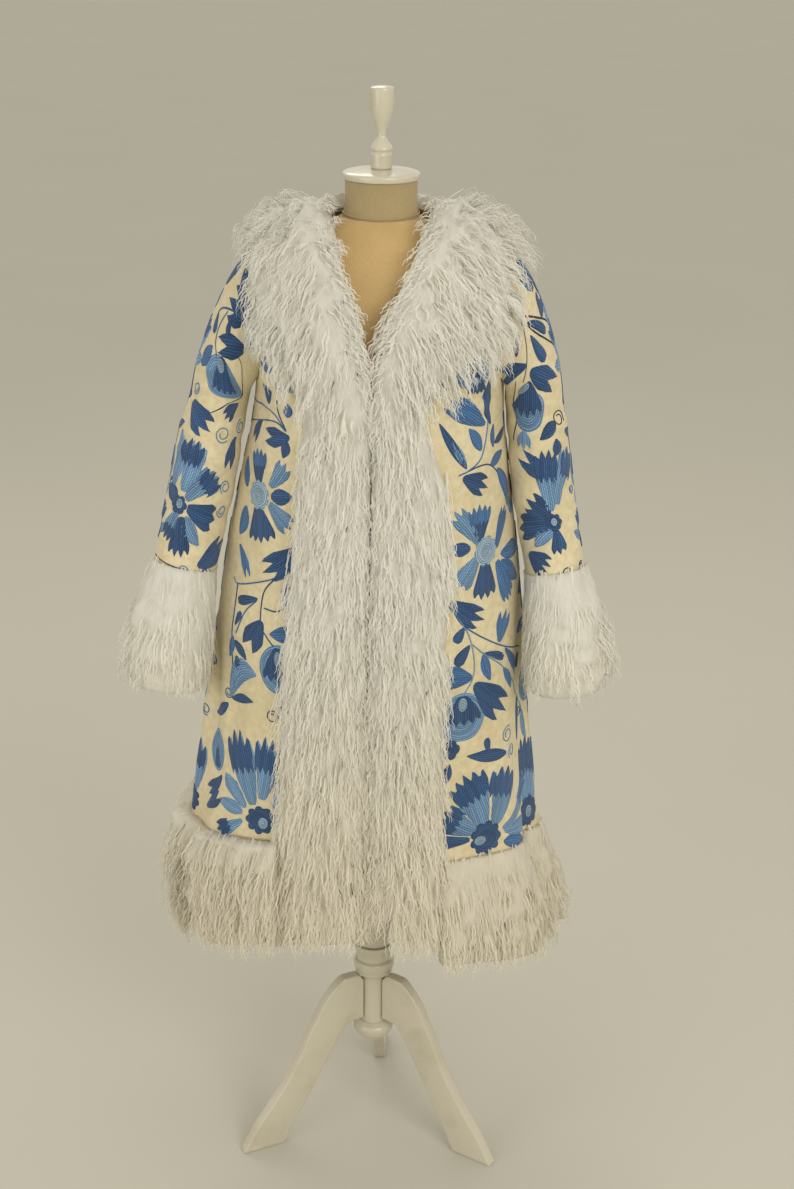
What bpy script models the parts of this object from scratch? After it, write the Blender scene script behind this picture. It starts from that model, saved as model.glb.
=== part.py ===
# Fur-trimmed embroidered coat, worn by a limbless dress form on a turned tripod stand.
# Metres, +Z up, the front faces -Y and the wearer's left side is at +X.
# The stand's axis is at x = 0, y = 0, and the feet stand on z = 0.
import math

import bpy
import numpy as np

# Driving sizes of the coat
CLOTH = 0.0020              # wall of the embroidered cotton
SEAM_GAP = 0.0004           # gap left between two sewn pieces
LIFT = 0.0004               # gap between a panel and the fur that lies on it
HEM_HEIGHT = 0.600          # where the cloth ends and the hem fur starts
UNDERARM_HEIGHT = 1.330
NECK_HEIGHT = 1.580         # neck end of the shoulder seam
BAND_BOTTOM = {1: (0.532, 0.455), -1: (0.478, 0.462)}   # tips of the front fur, edge to outside
EDGE_TURN = 0.009           # how far the front fur rolls round the front edge
LEFT, RIGHT = 1, -1

# Cross-sections of the skirt and chest, from the hem up
BODY_COLUMNS = ("z", "half_width", "front", "back", "centre_x", "meet_x")
BODY_ROWS = (
    (0.380, 0.292, 0.212, 0.205, -0.002, -0.012),
    (0.600, 0.274, 0.196, 0.188, -0.015, -0.012),
    (0.760, 0.257, 0.184, 0.172, -0.015, -0.012),
    (0.870, 0.247, 0.176, 0.160, -0.013, -0.012),
    (1.000, 0.234, 0.166, 0.147, -0.010, -0.011),
    (1.100, 0.221, 0.158, 0.138, -0.008, -0.010),
    (1.200, 0.204, 0.151, 0.133, -0.004, -0.009),
    (1.270, 0.192, 0.147, 0.132, -0.001, -0.009),
    (1.330, 0.187, 0.144, 0.131, 0.001, -0.008),
)

# Front edge above the underarm: the V of the neck, up to the shoulder seam
EDGE_COLUMNS = ("share", "x", "y", "z")
FRONT_EDGE_ROWS = (
    (0.00, 0.010, -0.144, 1.330),
    (0.20, 0.012, -0.142, 1.378),
    (0.45, 0.026, -0.128, 1.446),
    (0.70, 0.052, -0.100, 1.510),
    (0.88, 0.067, -0.056, 1.558),
    (1.00, 0.077, 0.004, 1.580),
)
V_CENTRE_COLUMNS = ("share", "x")
V_CENTRE_ROWS = ((0.00, -0.0080), (0.20, -0.0090), (0.45, -0.0095), (0.70, -0.0050), (1.00, 0.0))
ARM_FRONT_ROWS = (
    (0.00, 0.187, 0.000, 1.330),
    (0.14, 0.181, -0.036, 1.343),
    (0.40, 0.1755, -0.058, 1.395),
    (0.70, 0.1755, -0.048, 1.466),
    (0.90, 0.1770, -0.022, 1.515),
    (1.00, 0.1780, 0.004, 1.530),
)
ARM_BACK_ROWS = (
    (0.00, 0.187, 0.000, 1.330),
    (0.14, 0.182, 0.037, 1.345),
    (0.40, 0.179, 0.060, 1.400),
    (0.70, 0.179, 0.052, 1.472),
    (0.90, 0.1785, 0.026, 1.517),
    (1.00, 0.1780, 0.004, 1.530),
)
BACK_CENTRE_ROWS = (
    (0.00, 0.000, 0.131, 1.330),
    (0.40, 0.000, 0.133, 1.440),
    (0.70, 0.000, 0.115, 1.522),
    (0.90, 0.000, 0.086, 1.568),
    (1.00, 0.000, 0.066, 1.585),
)
NECKLINE_SHARE = 0.48       # share of the half back that the neckline takes
NECKLINE_BLEND = 0.55       # share of the yoke above which rows bend to the neckline

# How far the front fur reaches from the front edge, along the cloth, on each side
REACH_COLUMNS = ("z", "left", "right")
REACH_ROWS = (
    (0.400, 0.112, 0.128),
    (0.700, 0.108, 0.126),
    (0.860, 0.106, 0.120),
    (1.000, 0.108, 0.112),
    (1.100, 0.118, 0.110),
    (1.200, 0.120, 0.112),
    (1.260, 0.106, 0.114),
    (1.310, 0.086, 0.118),
    (1.360, 0.106, 0.130),
    (1.420, 0.142, 0.150),
    (1.470, 0.168, 0.172),
    (1.580, 0.125, 0.125),
)
REACH_LIMIT = 0.93          # most of a front row that the fur may take

# Soft flutes of the skirt: where round the half coat (0 front edge, 1 side, 2 back centre),
# how wide, how deep at the hem, and the height at which they start
FLUTE_COLUMNS = ("girth", "width", "depth", "start")
LEFT_FLUTES = (
    (0.62, 0.13, 0.008, 0.98),
    (0.86, 0.09, -0.014, 1.10),
    (1.05, 0.11, 0.012, 1.05),
    (1.32, 0.12, -0.015, 0.98),
    (1.58, 0.12, 0.014, 1.02),
    (1.84, 0.12, -0.014, 1.00),
)
RIGHT_FLUTES = (
    (0.66, 0.12, 0.010, 1.00),
    (0.88, 0.07, 0.014, 1.12),
    (1.02, 0.07, -0.018, 1.12),
    (1.24, 0.12, 0.014, 1.00),
    (1.50, 0.13, -0.015, 1.04),
    (1.78, 0.12, 0.014, 1.00),
)

# Sleeves: sections square to the sleeve, the middle and half width for each side
SLEEVE_COLUMNS = ("z", "x_left", "half_left", "x_right", "half_right", "y", "half_depth")
SLEEVE_ROWS = (
    (1.305, 0.2340, 0.0440, 0.2405, 0.0440, -0.008, 0.0620),
    (1.235, 0.2430, 0.0465, 0.2570, 0.0490, -0.016, 0.0600),
    (1.150, 0.2545, 0.0475, 0.2735, 0.0500, -0.028, 0.0570),
    (1.045, 0.2737, 0.0453, 0.2965, 0.0475, -0.048, 0.0520),
    (0.950, 0.2860, 0.0460, 0.3110, 0.0470, -0.068, 0.0510),
    (0.850, 0.2930, 0.0460, 0.3240, 0.0470, -0.090, 0.0510),
)
SLEEVE_END = 1.045
CUFF_BOTTOM = 0.858
SLEEVE_HEAD_ROWS = 5
HEAD_FULLNESS = {1: 0.55, -1: 0.42}      # how square the sleeve leaves the shoulder
SLEEVE_ARM_ROWS = 7
CUFF_ROWS = 5
# Elbow and underarm creases: share down the arm, angle round it (0 outside, 90 front, 180 inside),
# depth, reach along the arm, reach round it
CREASE_COLUMNS = ("share", "angle", "depth", "along", "round")
SLEEVE_CREASES = (
    (0.06, 135.0, 0.0050, 0.05, 42.0),
    (0.22, 150.0, 0.0045, 0.05, 50.0),
    (0.45, 120.0, 0.0040, 0.06, 55.0),
    (0.66, 150.0, 0.0045, 0.05, 50.0),
    (0.86, 100.0, 0.0030, 0.05, 60.0),
)

# Grid of the panels
SKIRT_ROWS = 14
YOKE_ROWS = 9
BAND_COLUMNS = 4
SIDE_COLUMNS = 4
HALF_BACK_COLUMNS = 8
COLLAR_FROM_ROW = 5         # yoke row at the collar's lower edge on the back
HEM_FUR_ROWS = 4
BAND_TAIL_ROWS = 3

# Depth of the fur at shares across or down the piece
BAND_PILE = ((0.0, 0.012), (0.18, 0.030), (0.45, 0.040), (0.75, 0.034), (1.0, 0.010))
SEAM_PILE = ((0.0, 0.026), (0.25, 0.046), (0.65, 0.046), (1.0, 0.036))
COLLAR_PILE = ((0.0, 0.25), (0.3, 0.80), (0.7, 1.10), (1.0, 1.0))
HEM_PILE_COLUMNS = ("down", "left", "right")
HEM_PILE_ROWS = (
    (0.00, 0.010, 0.036),
    (0.20, 0.018, 0.046),
    (0.50, 0.028, 0.044),
    (0.80, 0.034, 0.030),
    (1.00, 0.022, 0.010),
)
# Tips of the hem fur round the half coat (0 front edge, 1 side, 2 back centre)
HEM_BOTTOM_COLUMNS = ("girth", "left", "right")
HEM_BOTTOM_ROWS = (
    (0.00, 0.436, 0.458),
    (0.40, 0.430, 0.450),
    (0.75, 0.406, 0.410),
    (1.00, 0.398, 0.405),
    (1.50, 0.394, 0.398),
    (2.00, 0.398, 0.398),
)
CUFF_PILE = ((0.0, 0.006), (0.2, 0.020), (0.5, 0.035), (0.72, 0.035), (0.9, 0.022), (1.0, 0.008))
CUFF_INSIDE_SHARE = 0.42    # pile left where the cuff lies against the skirt
OVERHANG = 1.1              # lean of the fur past the armhole, as a share of its depth
OVERHANG_START = 1.41       # height above which it leans out
LUMP = 0.12                 # how much the pile swells and sinks from lock to lock

# Dress form, from its flat base to the neck seam
FORM_COLUMNS = ("z", "half_width", "front", "back")
FORM_ROWS = (
    (0.800, 0.150, 0.098, 0.104),
    (0.812, 0.158, 0.104, 0.110),
    (0.880, 0.166, 0.108, 0.116),
    (0.970, 0.168, 0.106, 0.114),
    (1.060, 0.150, 0.098, 0.098),
    (1.160, 0.125, 0.092, 0.084),
    (1.240, 0.134, 0.104, 0.090),
    (1.310, 0.146, 0.124, 0.100),
    (1.360, 0.152, 0.127, 0.105),
    (1.420, 0.157, 0.118, 0.108),
    (1.470, 0.161, 0.104, 0.100),
    (1.505, 0.1640, 0.0870, 0.0850),
    (1.525, 0.1524, 0.0740, 0.0730),
    (1.543, 0.1233, 0.0630, 0.0630),
    (1.558, 0.0919, 0.0570, 0.0570),
    (1.570, 0.0722, 0.0555, 0.0555),
    (1.5785, 0.0575, 0.055, 0.055),
)
FORM_SIDES = 28
FORM_SQUARENESS = 2.25      # 2 is an ellipse, more is boxier
NECK_ROWS = ((1.5790, 0.0565), (1.5830, 0.0550), (1.600, 0.0535), (1.6315, 0.0530))
CAP_PROFILE = ((1.6320, 0.0545), (1.6330, 0.0562), (1.6375, 0.0568), (1.6405, 0.0562),
               (1.6435, 0.0480), (1.6460, 0.0200))
FINIAL_PROFILE = ((1.6464, 0.0150), (1.6500, 0.0158), (1.6660, 0.0158), (1.6700, 0.0146),
                  (1.6720, 0.0150), (1.6745, 0.0162), (1.6790, 0.0148), (1.6860, 0.0095),
                  (1.6930, 0.0062), (1.7000, 0.0068), (1.7080, 0.0096), (1.7180, 0.0134),
                  (1.7300, 0.0163), (1.7450, 0.0174), (1.7590, 0.0172), (1.7620, 0.0150),
                  (1.7635, 0.0080))
POLE_PROFILE = ((0.3530, 0.0290), (0.3560, 0.0305), (0.7900, 0.0305), (0.7996, 0.0300))
STEM_PROFILE = ((0.2020, 0.0222), (0.2400, 0.0219), (0.2864, 0.0222), (0.2970, 0.0318),
                (0.3020, 0.0322), (0.3060, 0.0334), (0.3130, 0.0344), (0.3200, 0.0334),
                (0.3240, 0.0290), (0.3320, 0.0292), (0.3440, 0.0332), (0.3526, 0.0348))
KNOB_PROFILE = ((0.1680, 0.0120), (0.1710, 0.0240), (0.1790, 0.0315), (0.1880, 0.0338),
                (0.1950, 0.0318), (0.2016, 0.0240))
TURNED_SIDES = 24
FORM_PARTS_GAP = 0.0004

# One leg, in its own upright plane: distance from the axis, height
LEG_OUTER = ((0.0227, 0.2855), (0.0345, 0.2962), (0.0560, 0.2955), (0.0780, 0.2795),
             (0.0970, 0.2545), (0.1110, 0.2265), (0.1260, 0.1990), (0.1410, 0.1640),
             (0.1640, 0.1220), (0.1900, 0.0840), (0.2190, 0.0460), (0.2470, 0.0000))
LEG_INNER = ((0.1710, 0.0000), (0.1520, 0.0400), (0.1300, 0.0740), (0.1080, 0.1150),
             (0.0860, 0.1550), (0.0560, 0.2020), (0.0380, 0.2090), (0.0227, 0.2100))
LEG_THICKNESS = 0.020
LEG_TURN = -3.5             # degrees that the tripod is turned from square to the front
LEG_SPACING = 120.0

# Colour, roughness, metallic
FINISHES = {
    "cloth": ((0.66, 0.58, 0.42), 0.85, 0.0),
    "fur": ((0.88, 0.86, 0.80), 0.90, 0.0),
    "jersey": ((0.55, 0.43, 0.24), 0.80, 0.0),
    "lacquer": ((0.70, 0.68, 0.58), 0.25, 0.0),
}

# Places the whole coat and stand so that the middle of its outline is at the origin
ORIGIN_SHIFT = (0.014, -0.004, 0.0)


def column(rows, names, name, at):
    """Smooth value of one column of a table at one or more places in its first column."""
    table = np.array(rows, float)
    return smooth(table[:, 0], table[:, names.index(name)], at)


def smooth(places, values, at):
    """Cubic curve through a few points, flat where they turn, so it never overshoots them."""
    places, values = np.asarray(places, float), np.asarray(values, float)
    at = np.clip(np.asarray(at, float), places[0], places[-1])
    steps = np.diff(places)
    slopes = np.diff(values) / steps
    tangents = np.concatenate((slopes[:1], 0.5 * (slopes[:-1] + slopes[1:]), slopes[-1:]))
    turning = slopes[:-1] * slopes[1:] <= 0
    tangents[1:-1][turning] = 0.0
    limit = 3.0 * np.minimum(np.abs(slopes[:-1]), np.abs(slopes[1:]))
    tangents[1:-1] = np.clip(tangents[1:-1], -limit, limit)
    i = np.clip(np.searchsorted(places, at, side="right") - 1, 0, len(steps) - 1)
    t = (at - places[i]) / steps[i]
    h00, h10 = 2 * t**3 - 3 * t**2 + 1, t**3 - 2 * t**2 + t
    h01, h11 = -2 * t**3 + 3 * t**2, t**3 - t**2
    return (h00 * values[i] + h10 * steps[i] * tangents[i]
            + h01 * values[i + 1] + h11 * steps[i] * tangents[i + 1])


def side_name(side):
    return "left" if side == LEFT else "right"


def edge_point(rows, share, side):
    """Point on one of the yoke's edges, mirrored for the right side."""
    x, y, z = (float(column(rows, EDGE_COLUMNS, n, share)) for n in ("x", "y", "z"))
    return np.array((side * x, y, z))


def yoke_share(h):
    """0 at the underarm, 1 at the shoulder seam."""
    return (h - UNDERARM_HEIGHT) / (NECK_HEIGHT - UNDERARM_HEIGHT)


def body_value(name, h):
    return float(column(BODY_ROWS, BODY_COLUMNS, name, h))


def row_ends(side, back, h):
    """The inner end (front edge or back centre) and the outer end (side seam or armhole) of a row."""
    if h <= UNDERARM_HEIGHT:
        centre = body_value("centre_x", h)
        depth = body_value("back", h) if back else -body_value("front", h)
        inner_x = centre if back else body_value("meet_x", h) + side * FRONT_EDGE_ROWS[0][1]
        outer = np.array((centre + side * body_value("half_width", h), 0.0, h))
        return np.array((inner_x, depth, h)), outer
    share = yoke_share(h)
    inner = edge_point(BACK_CENTRE_ROWS if back else FRONT_EDGE_ROWS, share, side)
    outer = edge_point(ARM_BACK_ROWS if back else ARM_FRONT_ROWS, share, side)
    centre = body_value("centre_x", UNDERARM_HEIGHT) * (1 - share)
    inner[0] += centre if back else float(column(V_CENTRE_ROWS, V_CENTRE_COLUMNS, "x", share))
    outer[0] += centre
    return inner, outer


def top_of_back(side, share):
    """Shoulder seam and back neckline, by share of the half back from its centre."""
    neck = edge_point(FRONT_EDGE_ROWS, 1.0, side)
    shoulder = edge_point(ARM_BACK_ROWS, 1.0, side)
    middle = edge_point(BACK_CENTRE_ROWS, 1.0, side)
    if share >= NECKLINE_SHARE:
        t = (share - NECKLINE_SHARE) / (1 - NECKLINE_SHARE)
        return neck + (shoulder - neck) * t
    turn = 0.5 * math.pi * share / NECKLINE_SHARE
    return np.array((
        neck[0] * math.sin(turn),
        neck[1] + (middle[1] - neck[1]) * math.cos(turn),
        middle[2] + (neck[2] - middle[2]) * math.sin(turn),
    ))


def flute(side, girth, h):
    """How far the skirt swells out at a place round the half coat."""
    total = 0.0
    for where, width, depth, start in (LEFT_FLUTES if side == LEFT else RIGHT_FLUTES):
        fall = np.clip((start - h) / (start - HEM_HEIGHT), 0.0, 1.25) ** 1.3
        total += depth * fall * math.exp(-(((girth - where) / width) ** 2))
    return total


def row_curve(side, back, h, samples=120):
    """Dense points of one row from its inner end to its outer end, and their outward directions."""
    inner, outer = row_ends(side, back, h)
    turns = np.linspace(0.0, 0.5 * math.pi, samples)
    points = outer + (inner - outer) * np.cos(turns)[:, None]
    points[:, 0] = inner[0] + (outer[0] - inner[0]) * np.sin(turns)
    if not back:
        points[:, 2] = inner[2] + (outer[2] - inner[2]) * np.sin(turns)
    out = np.stack((
        np.sin(turns) * abs(inner[1] - outer[1]) * side,
        np.cos(turns) * abs(outer[0] - inner[0]) * (1 if back else -1),
        np.zeros(samples),
    ), axis=1)
    out /= np.linalg.norm(out, axis=1)[:, None]
    if back and h > UNDERARM_HEIGHT:
        lean = np.clip((yoke_share(h) - NECKLINE_BLEND) / (1 - NECKLINE_BLEND), 0.0, 1.0)
        lean = lean * lean * (3 - 2 * lean)
        along = lengths(points)
        top = np.array([top_of_back(side, s) for s in along / along[-1]])
        points = points * (1 - lean) + top * lean
    girth = turns / (0.5 * math.pi)
    girth = 2 - girth if back else girth
    points += np.array([flute(side, g, h) for g in girth])[:, None] * out
    return points, out


def lengths(points):
    """Running length along a line of points."""
    steps = np.linalg.norm(np.diff(points, axis=0), axis=1)
    return np.concatenate(((0.0,), np.cumsum(steps)))


def at_lengths(points, wanted):
    """Points at given distances along a line; before its start it runs on straight."""
    along = lengths(points)
    inside = np.stack([np.interp(wanted, along, points[:, k]) for k in range(3)], axis=1)
    start = (points[1] - points[0]) / np.linalg.norm(points[1] - points[0])
    return inside + np.minimum(np.asarray(wanted), 0.0)[:, None] * start


def reach(side, h):
    return float(column(REACH_ROWS, REACH_COLUMNS, side_name(side), h))


def panel_heights():
    """Row heights of the cloth, hem to shoulder."""
    skirt = np.linspace(HEM_HEIGHT, UNDERARM_HEIGHT, SKIRT_ROWS + 1)
    yoke = np.linspace(UNDERARM_HEIGHT, NECK_HEIGHT, YOKE_ROWS + 1)
    return np.concatenate((skirt, yoke[1:]))


def front_places(side, points, h, turned=False):
    """Distances of the columns of a front row: the fur's reach, then on to the side."""
    total = lengths(points)[-1] - 0.5 * SEAM_GAP
    band = np.linspace(0.0, min(reach(side, h), REACH_LIMIT * total), BAND_COLUMNS + 1)
    side = np.linspace(band[-1], total, SIDE_COLUMNS + 1)
    places = np.concatenate((band, side[1:]))
    turn = EDGE_TURN * (1 - 0.55 * np.clip(yoke_share(h), 0.0, 1.0))
    return np.concatenate(((-turn,), places)) if turned else places


def front_grid(side, heights, turned=False):
    """Outer points of one front, rows from the hem up, columns from the front edge."""
    grid = []
    for h in heights:
        points = row_curve(side, False, h)[0]
        grid.append(at_lengths(points, front_places(side, points, h, turned)))
    grid = np.array(grid)
    if heights[-1] >= NECK_HEIGHT:
        grid[-1, :, 1] -= 0.5 * SEAM_GAP
    return grid


def back_grid(heights):
    """Outer points of the whole back, columns from the right side seam to the left one."""
    grid = []
    for h in heights:
        halves = []
        for side in (RIGHT, LEFT):
            points = row_curve(side, True, h)[0]
            total = lengths(points)[-1] - 0.5 * SEAM_GAP
            halves.append(at_lengths(points, np.linspace(0.0, total, HALF_BACK_COLUMNS + 1)))
        middle = 0.5 * (halves[0][:1] + halves[1][:1])
        grid.append(np.concatenate((halves[0][:0:-1], middle, halves[1][1:])))
    grid = np.array(grid)
    if heights[-1] >= NECK_HEIGHT:
        grid[-1, :, 1] += 0.5 * SEAM_GAP
    return grid


def grid_normals(grid, ring=False):
    """Unit normals of a grid of points, on the side from which columns run right and rows run up."""
    if ring:
        across = np.roll(grid, -1, axis=1) - np.roll(grid, 1, axis=1)
    else:
        across = np.gradient(grid, axis=1)
    up = np.gradient(grid, axis=0)
    normals = np.cross(across, up)
    return normals / np.maximum(np.linalg.norm(normals, axis=2), 1e-12)[:, :, None]


def level(vectors, axis):
    """The same unit vectors with one axis left out."""
    flat = np.array(vectors)
    flat[..., axis] = 0.0
    return flat / np.linalg.norm(flat, axis=-1)[..., None]


def shoulder_normal(side):
    neck, tip = edge_point(FRONT_EDGE_ROWS, 1.0, side), edge_point(ARM_FRONT_ROWS, 1.0, side)
    run, drop = abs(tip[0] - neck[0]), neck[2] - tip[2]
    return np.array((side * drop, 0.0, run)) / math.hypot(drop, run)


def front_normals(grid, side):
    """Outward normals of a front, set square to the seams that it shares."""
    normals = grid_normals(grid) * side
    yoke = grid.shape[0] - YOKE_ROWS
    normals[:yoke, -1] = level(normals[:yoke, -1], 1)
    normals[-1, :] = shoulder_normal(side)
    return normals


def back_normals(grid):
    normals = -grid_normals(grid)
    yoke = grid.shape[0] - YOKE_ROWS
    for j in (0, -1):
        normals[:yoke, j] = level(normals[:yoke, j], 1)
    seam = round(NECKLINE_SHARE * HALF_BACK_COLUMNS)
    for side in (RIGHT, LEFT):
        for j in range(seam, HALF_BACK_COLUMNS + 1):
            normals[-1, HALF_BACK_COLUMNS + side * j] = shoulder_normal(side)
    return normals


def add_object(name, points, faces, finish, rounded=35.0):
    """One closed piece, its faces made to point out, smooth but for its sharp edges."""
    mesh = bpy.data.meshes.new(name)
    mesh.from_pydata([tuple(p) for p in points], [], faces)
    mesh.validate()
    made = bpy.data.objects.new(name, mesh)
    bpy.context.scene.collection.objects.link(made)
    make_outward(mesh)
    mesh.shade_smooth()
    mesh.set_sharp_from_angle(angle=math.radians(rounded))
    mesh.materials.append(material(finish))
    return made


def make_outward(mesh):
    """Turns the whole closed mesh over if its volume comes out negative."""
    mesh.calc_loop_triangles()
    co = np.array([v.co for v in mesh.vertices], float)
    tri = np.array([t.vertices for t in mesh.loop_triangles], int)
    a, b, c = co[tri[:, 0]], co[tri[:, 1]], co[tri[:, 2]]
    if np.einsum("ij,ij->i", a, np.cross(b, c)).sum() < 0:
        mesh.flip_normals()


def material(finish):
    made = bpy.data.materials.get(finish)
    if made is None:
        colour, roughness, metallic = FINISHES[finish]
        made = bpy.data.materials.new(finish)
        made.use_nodes = True
        shader = made.node_tree.nodes["Principled BSDF"]
        shader.inputs["Base Color"].default_value = (*colour, 1.0)
        shader.inputs["Roughness"].default_value = roughness
        shader.inputs["Metallic"].default_value = metallic
        made.diffuse_color = (*colour, 1.0)
    return made


def wall(name, outer, inner, finish, ring=False):
    """A closed wall between two grids of points; a ring's columns join up.

    Both faces are cut along the same diagonals, so that pieces which share a grid never cross.
    """
    rows, cols = outer.shape[:2]
    size = rows * cols
    points = np.concatenate((outer.reshape(-1, 3), inner.reshape(-1, 3)))
    last = cols if ring else cols - 1
    faces = []
    for i in range(rows - 1):
        for j in range(last):
            k = (j + 1) % cols
            a, b, c, d = i * cols + j, i * cols + k, (i + 1) * cols + k, (i + 1) * cols + j
            faces += [(a, b, c), (a, c, d)]
            faces += [(size + c, size + b, size + a), (size + d, size + c, size + a)]
    for j in range(last):
        k = (j + 1) % cols
        top = (rows - 1) * cols
        faces.append((j, size + j, size + k, k))
        faces.append((top + k, size + top + k, size + top + j, top + j))
    if not ring:
        for i in range(rows - 1):
            a, b = i * cols, (i + 1) * cols
            faces.append((b, size + b, size + a, a))
            a, b = a + cols - 1, b + cols - 1
            faces.append((a, size + a, size + b, b))
    return add_object(name, points, faces, finish)


def turned(name, profile, finish, sides=TURNED_SIDES, squeeze=1.0):
    """A turned solid from its profile of (height, radius), foot to top."""
    angles = np.linspace(0.0, 2 * math.pi, sides, endpoint=False)
    points = [(r * math.cos(a), r * squeeze * math.sin(a), z) for z, r in profile for a in angles]
    return closed_loft(name, points, sides, len(profile), finish)


def closed_loft(name, points, sides, rings, finish):
    """Skins rings of points and closes both ends with one flat face each."""
    faces = []
    for i in range(rings - 1):
        for j in range(sides):
            k = (j + 1) % sides
            a, b = i * sides, (i + 1) * sides
            faces.append((a + j, a + k, b + k, b + j))
    faces.append(tuple(range(sides - 1, -1, -1)))
    faces.append(tuple((rings - 1) * sides + j for j in range(sides)))
    return add_object(name, points, faces, finish)


def pile(table, shares):
    rows = np.array(table, float)
    return smooth(rows[:, 0], rows[:, 1], shares)


def lumps(rows, cols, phase):
    """Slow swell from lock to lock, over a grid."""
    i, j = np.mgrid[0:rows, 0:cols]
    return 1 + LUMP * np.sin(1.9 * i + 1.3 * j + phase) * np.cos(0.9 * j - 0.7 * i + phase)


def make_fronts():
    """Both fronts, and the rims that their armholes leave for the sleeves."""
    heights = panel_heights()
    rims = {}
    for side, name in ((LEFT, "front_left"), (RIGHT, "front_right")):
        outer = front_grid(side, heights)
        normals = front_normals(outer, side)
        wall(name, outer, outer - CLOTH * normals, "cloth")
        rims[side] = outer[SKIRT_ROWS:, -1]
    return rims


def make_back():
    heights = panel_heights()
    outer = back_grid(heights)
    wall("back", outer, outer - CLOTH * back_normals(outer), "cloth")
    return {RIGHT: outer[SKIRT_ROWS:, 0], LEFT: outer[SKIRT_ROWS:, -1]}


def lean_out(normals, heights, shares, sides):
    """Directions of the fur, leaning out over the sleeve near the armhole."""
    rise = np.clip((heights - OVERHANG_START) / 0.06, 0.0, 1.0)
    lean = OVERHANG * rise[:, None] * np.clip(shares, 0.0, 1.0)[None, :] ** 2
    leaning = np.array(normals)
    leaning[:, :, 0] += lean * sides
    return leaning / np.linalg.norm(leaning, axis=2)[:, :, None]


def make_front_fur():
    """Fur down each front edge and round the V to the shoulder seam."""
    for side, name in ((LEFT, "fur_front_left"), (RIGHT, "fur_front_right")):
        bottom = min(BAND_BOTTOM[side])
        tail = np.linspace(bottom, HEM_HEIGHT, BAND_TAIL_ROWS + 1)
        heights = np.concatenate((tail[:-1], panel_heights()))
        base = front_grid(side, heights, turned=True)
        bottoms = np.linspace(*BAND_BOTTOM[side], BAND_COLUMNS + 2)
        hang_to(base[:len(tail)], tail, bottoms)
        normals = front_normals(base, side)
        base, normals = base[:, :BAND_COLUMNS + 2], normals[:, :BAND_COLUMNS + 2]
        shares = np.linspace(0.0, 1.0, BAND_COLUMNS + 2)
        rise = np.clip((heights - UNDERARM_HEIGHT) / (NECK_HEIGHT - UNDERARM_HEIGHT), 0, 1)[:, None]
        depth = pile(BAND_PILE, shares) * (1 - rise) + pile(SEAM_PILE, shares) * rise
        depth *= 1 + (lumps(*depth.shape, 0.4 * side) - 1) * (1 - rise)
        taper = np.clip((heights - bottom) / 0.09, 0.0, 1.0) ** 0.5
        depth *= (0.45 + 0.55 * taper)[:, None]
        leaning = lean_out(normals, heights, shares, side)
        wall(name, base + depth[:, :, None] * leaning, base + LIFT * normals, "fur")


def make_collar():
    """Fur round the back of the neck, between the two shoulder seams."""
    heights = panel_heights()
    outer = back_grid(heights)
    normals = back_normals(outer)
    first = SKIRT_ROWS + COLLAR_FROM_ROW
    heights, outer, normals = heights[first:], outer[first:], normals[first:]
    rows, cols = outer.shape[:2]
    across = np.abs(np.arange(cols) - HALF_BACK_COLUMNS) / HALF_BACK_COLUMNS
    from_neck = (across - NECKLINE_SHARE) / (1 - NECKLINE_SHARE)
    up = np.linspace(0.0, 1.0, rows)
    depth = pile(SEAM_PILE, from_neck)[None, :] * pile(COLLAR_PILE, up)[:, None]
    depth *= 1 + (lumps(rows, cols, 1.1) - 1) * (1 - up)[:, None]
    sides = np.sign(np.arange(cols) - HALF_BACK_COLUMNS)
    leaning = lean_out(normals, heights, from_neck, sides[None, :])
    wall("fur_collar", outer + depth[:, :, None] * leaning, outer + LIFT * normals, "fur")


def hem_depths(shape, sides, phase):
    """Depth of the hem fur over a grid that runs from the tips up; sides is 0 right to 1 left."""
    down = np.linspace(1.0, 0.0, shape[0])
    left, right = (column(HEM_PILE_ROWS, HEM_PILE_COLUMNS, n, down) for n in ("left", "right"))
    depth = right[:, None] * (1 - sides)[None, :] + left[:, None] * sides[None, :]
    return depth * lumps(*shape, phase)


def hang_to(grid, heights, bottoms):
    """Stretches or shortens each column of a grid so that it ends at its own height."""
    share = (heights - heights[0]) / (heights[-1] - heights[0])
    for j, bottom in enumerate(bottoms):
        wanted = bottom + share * (heights[-1] - bottom)
        for k in range(3):
            grid[:, j, k] = np.interp(wanted, heights, grid[:, j, k])
    return grid


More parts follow.
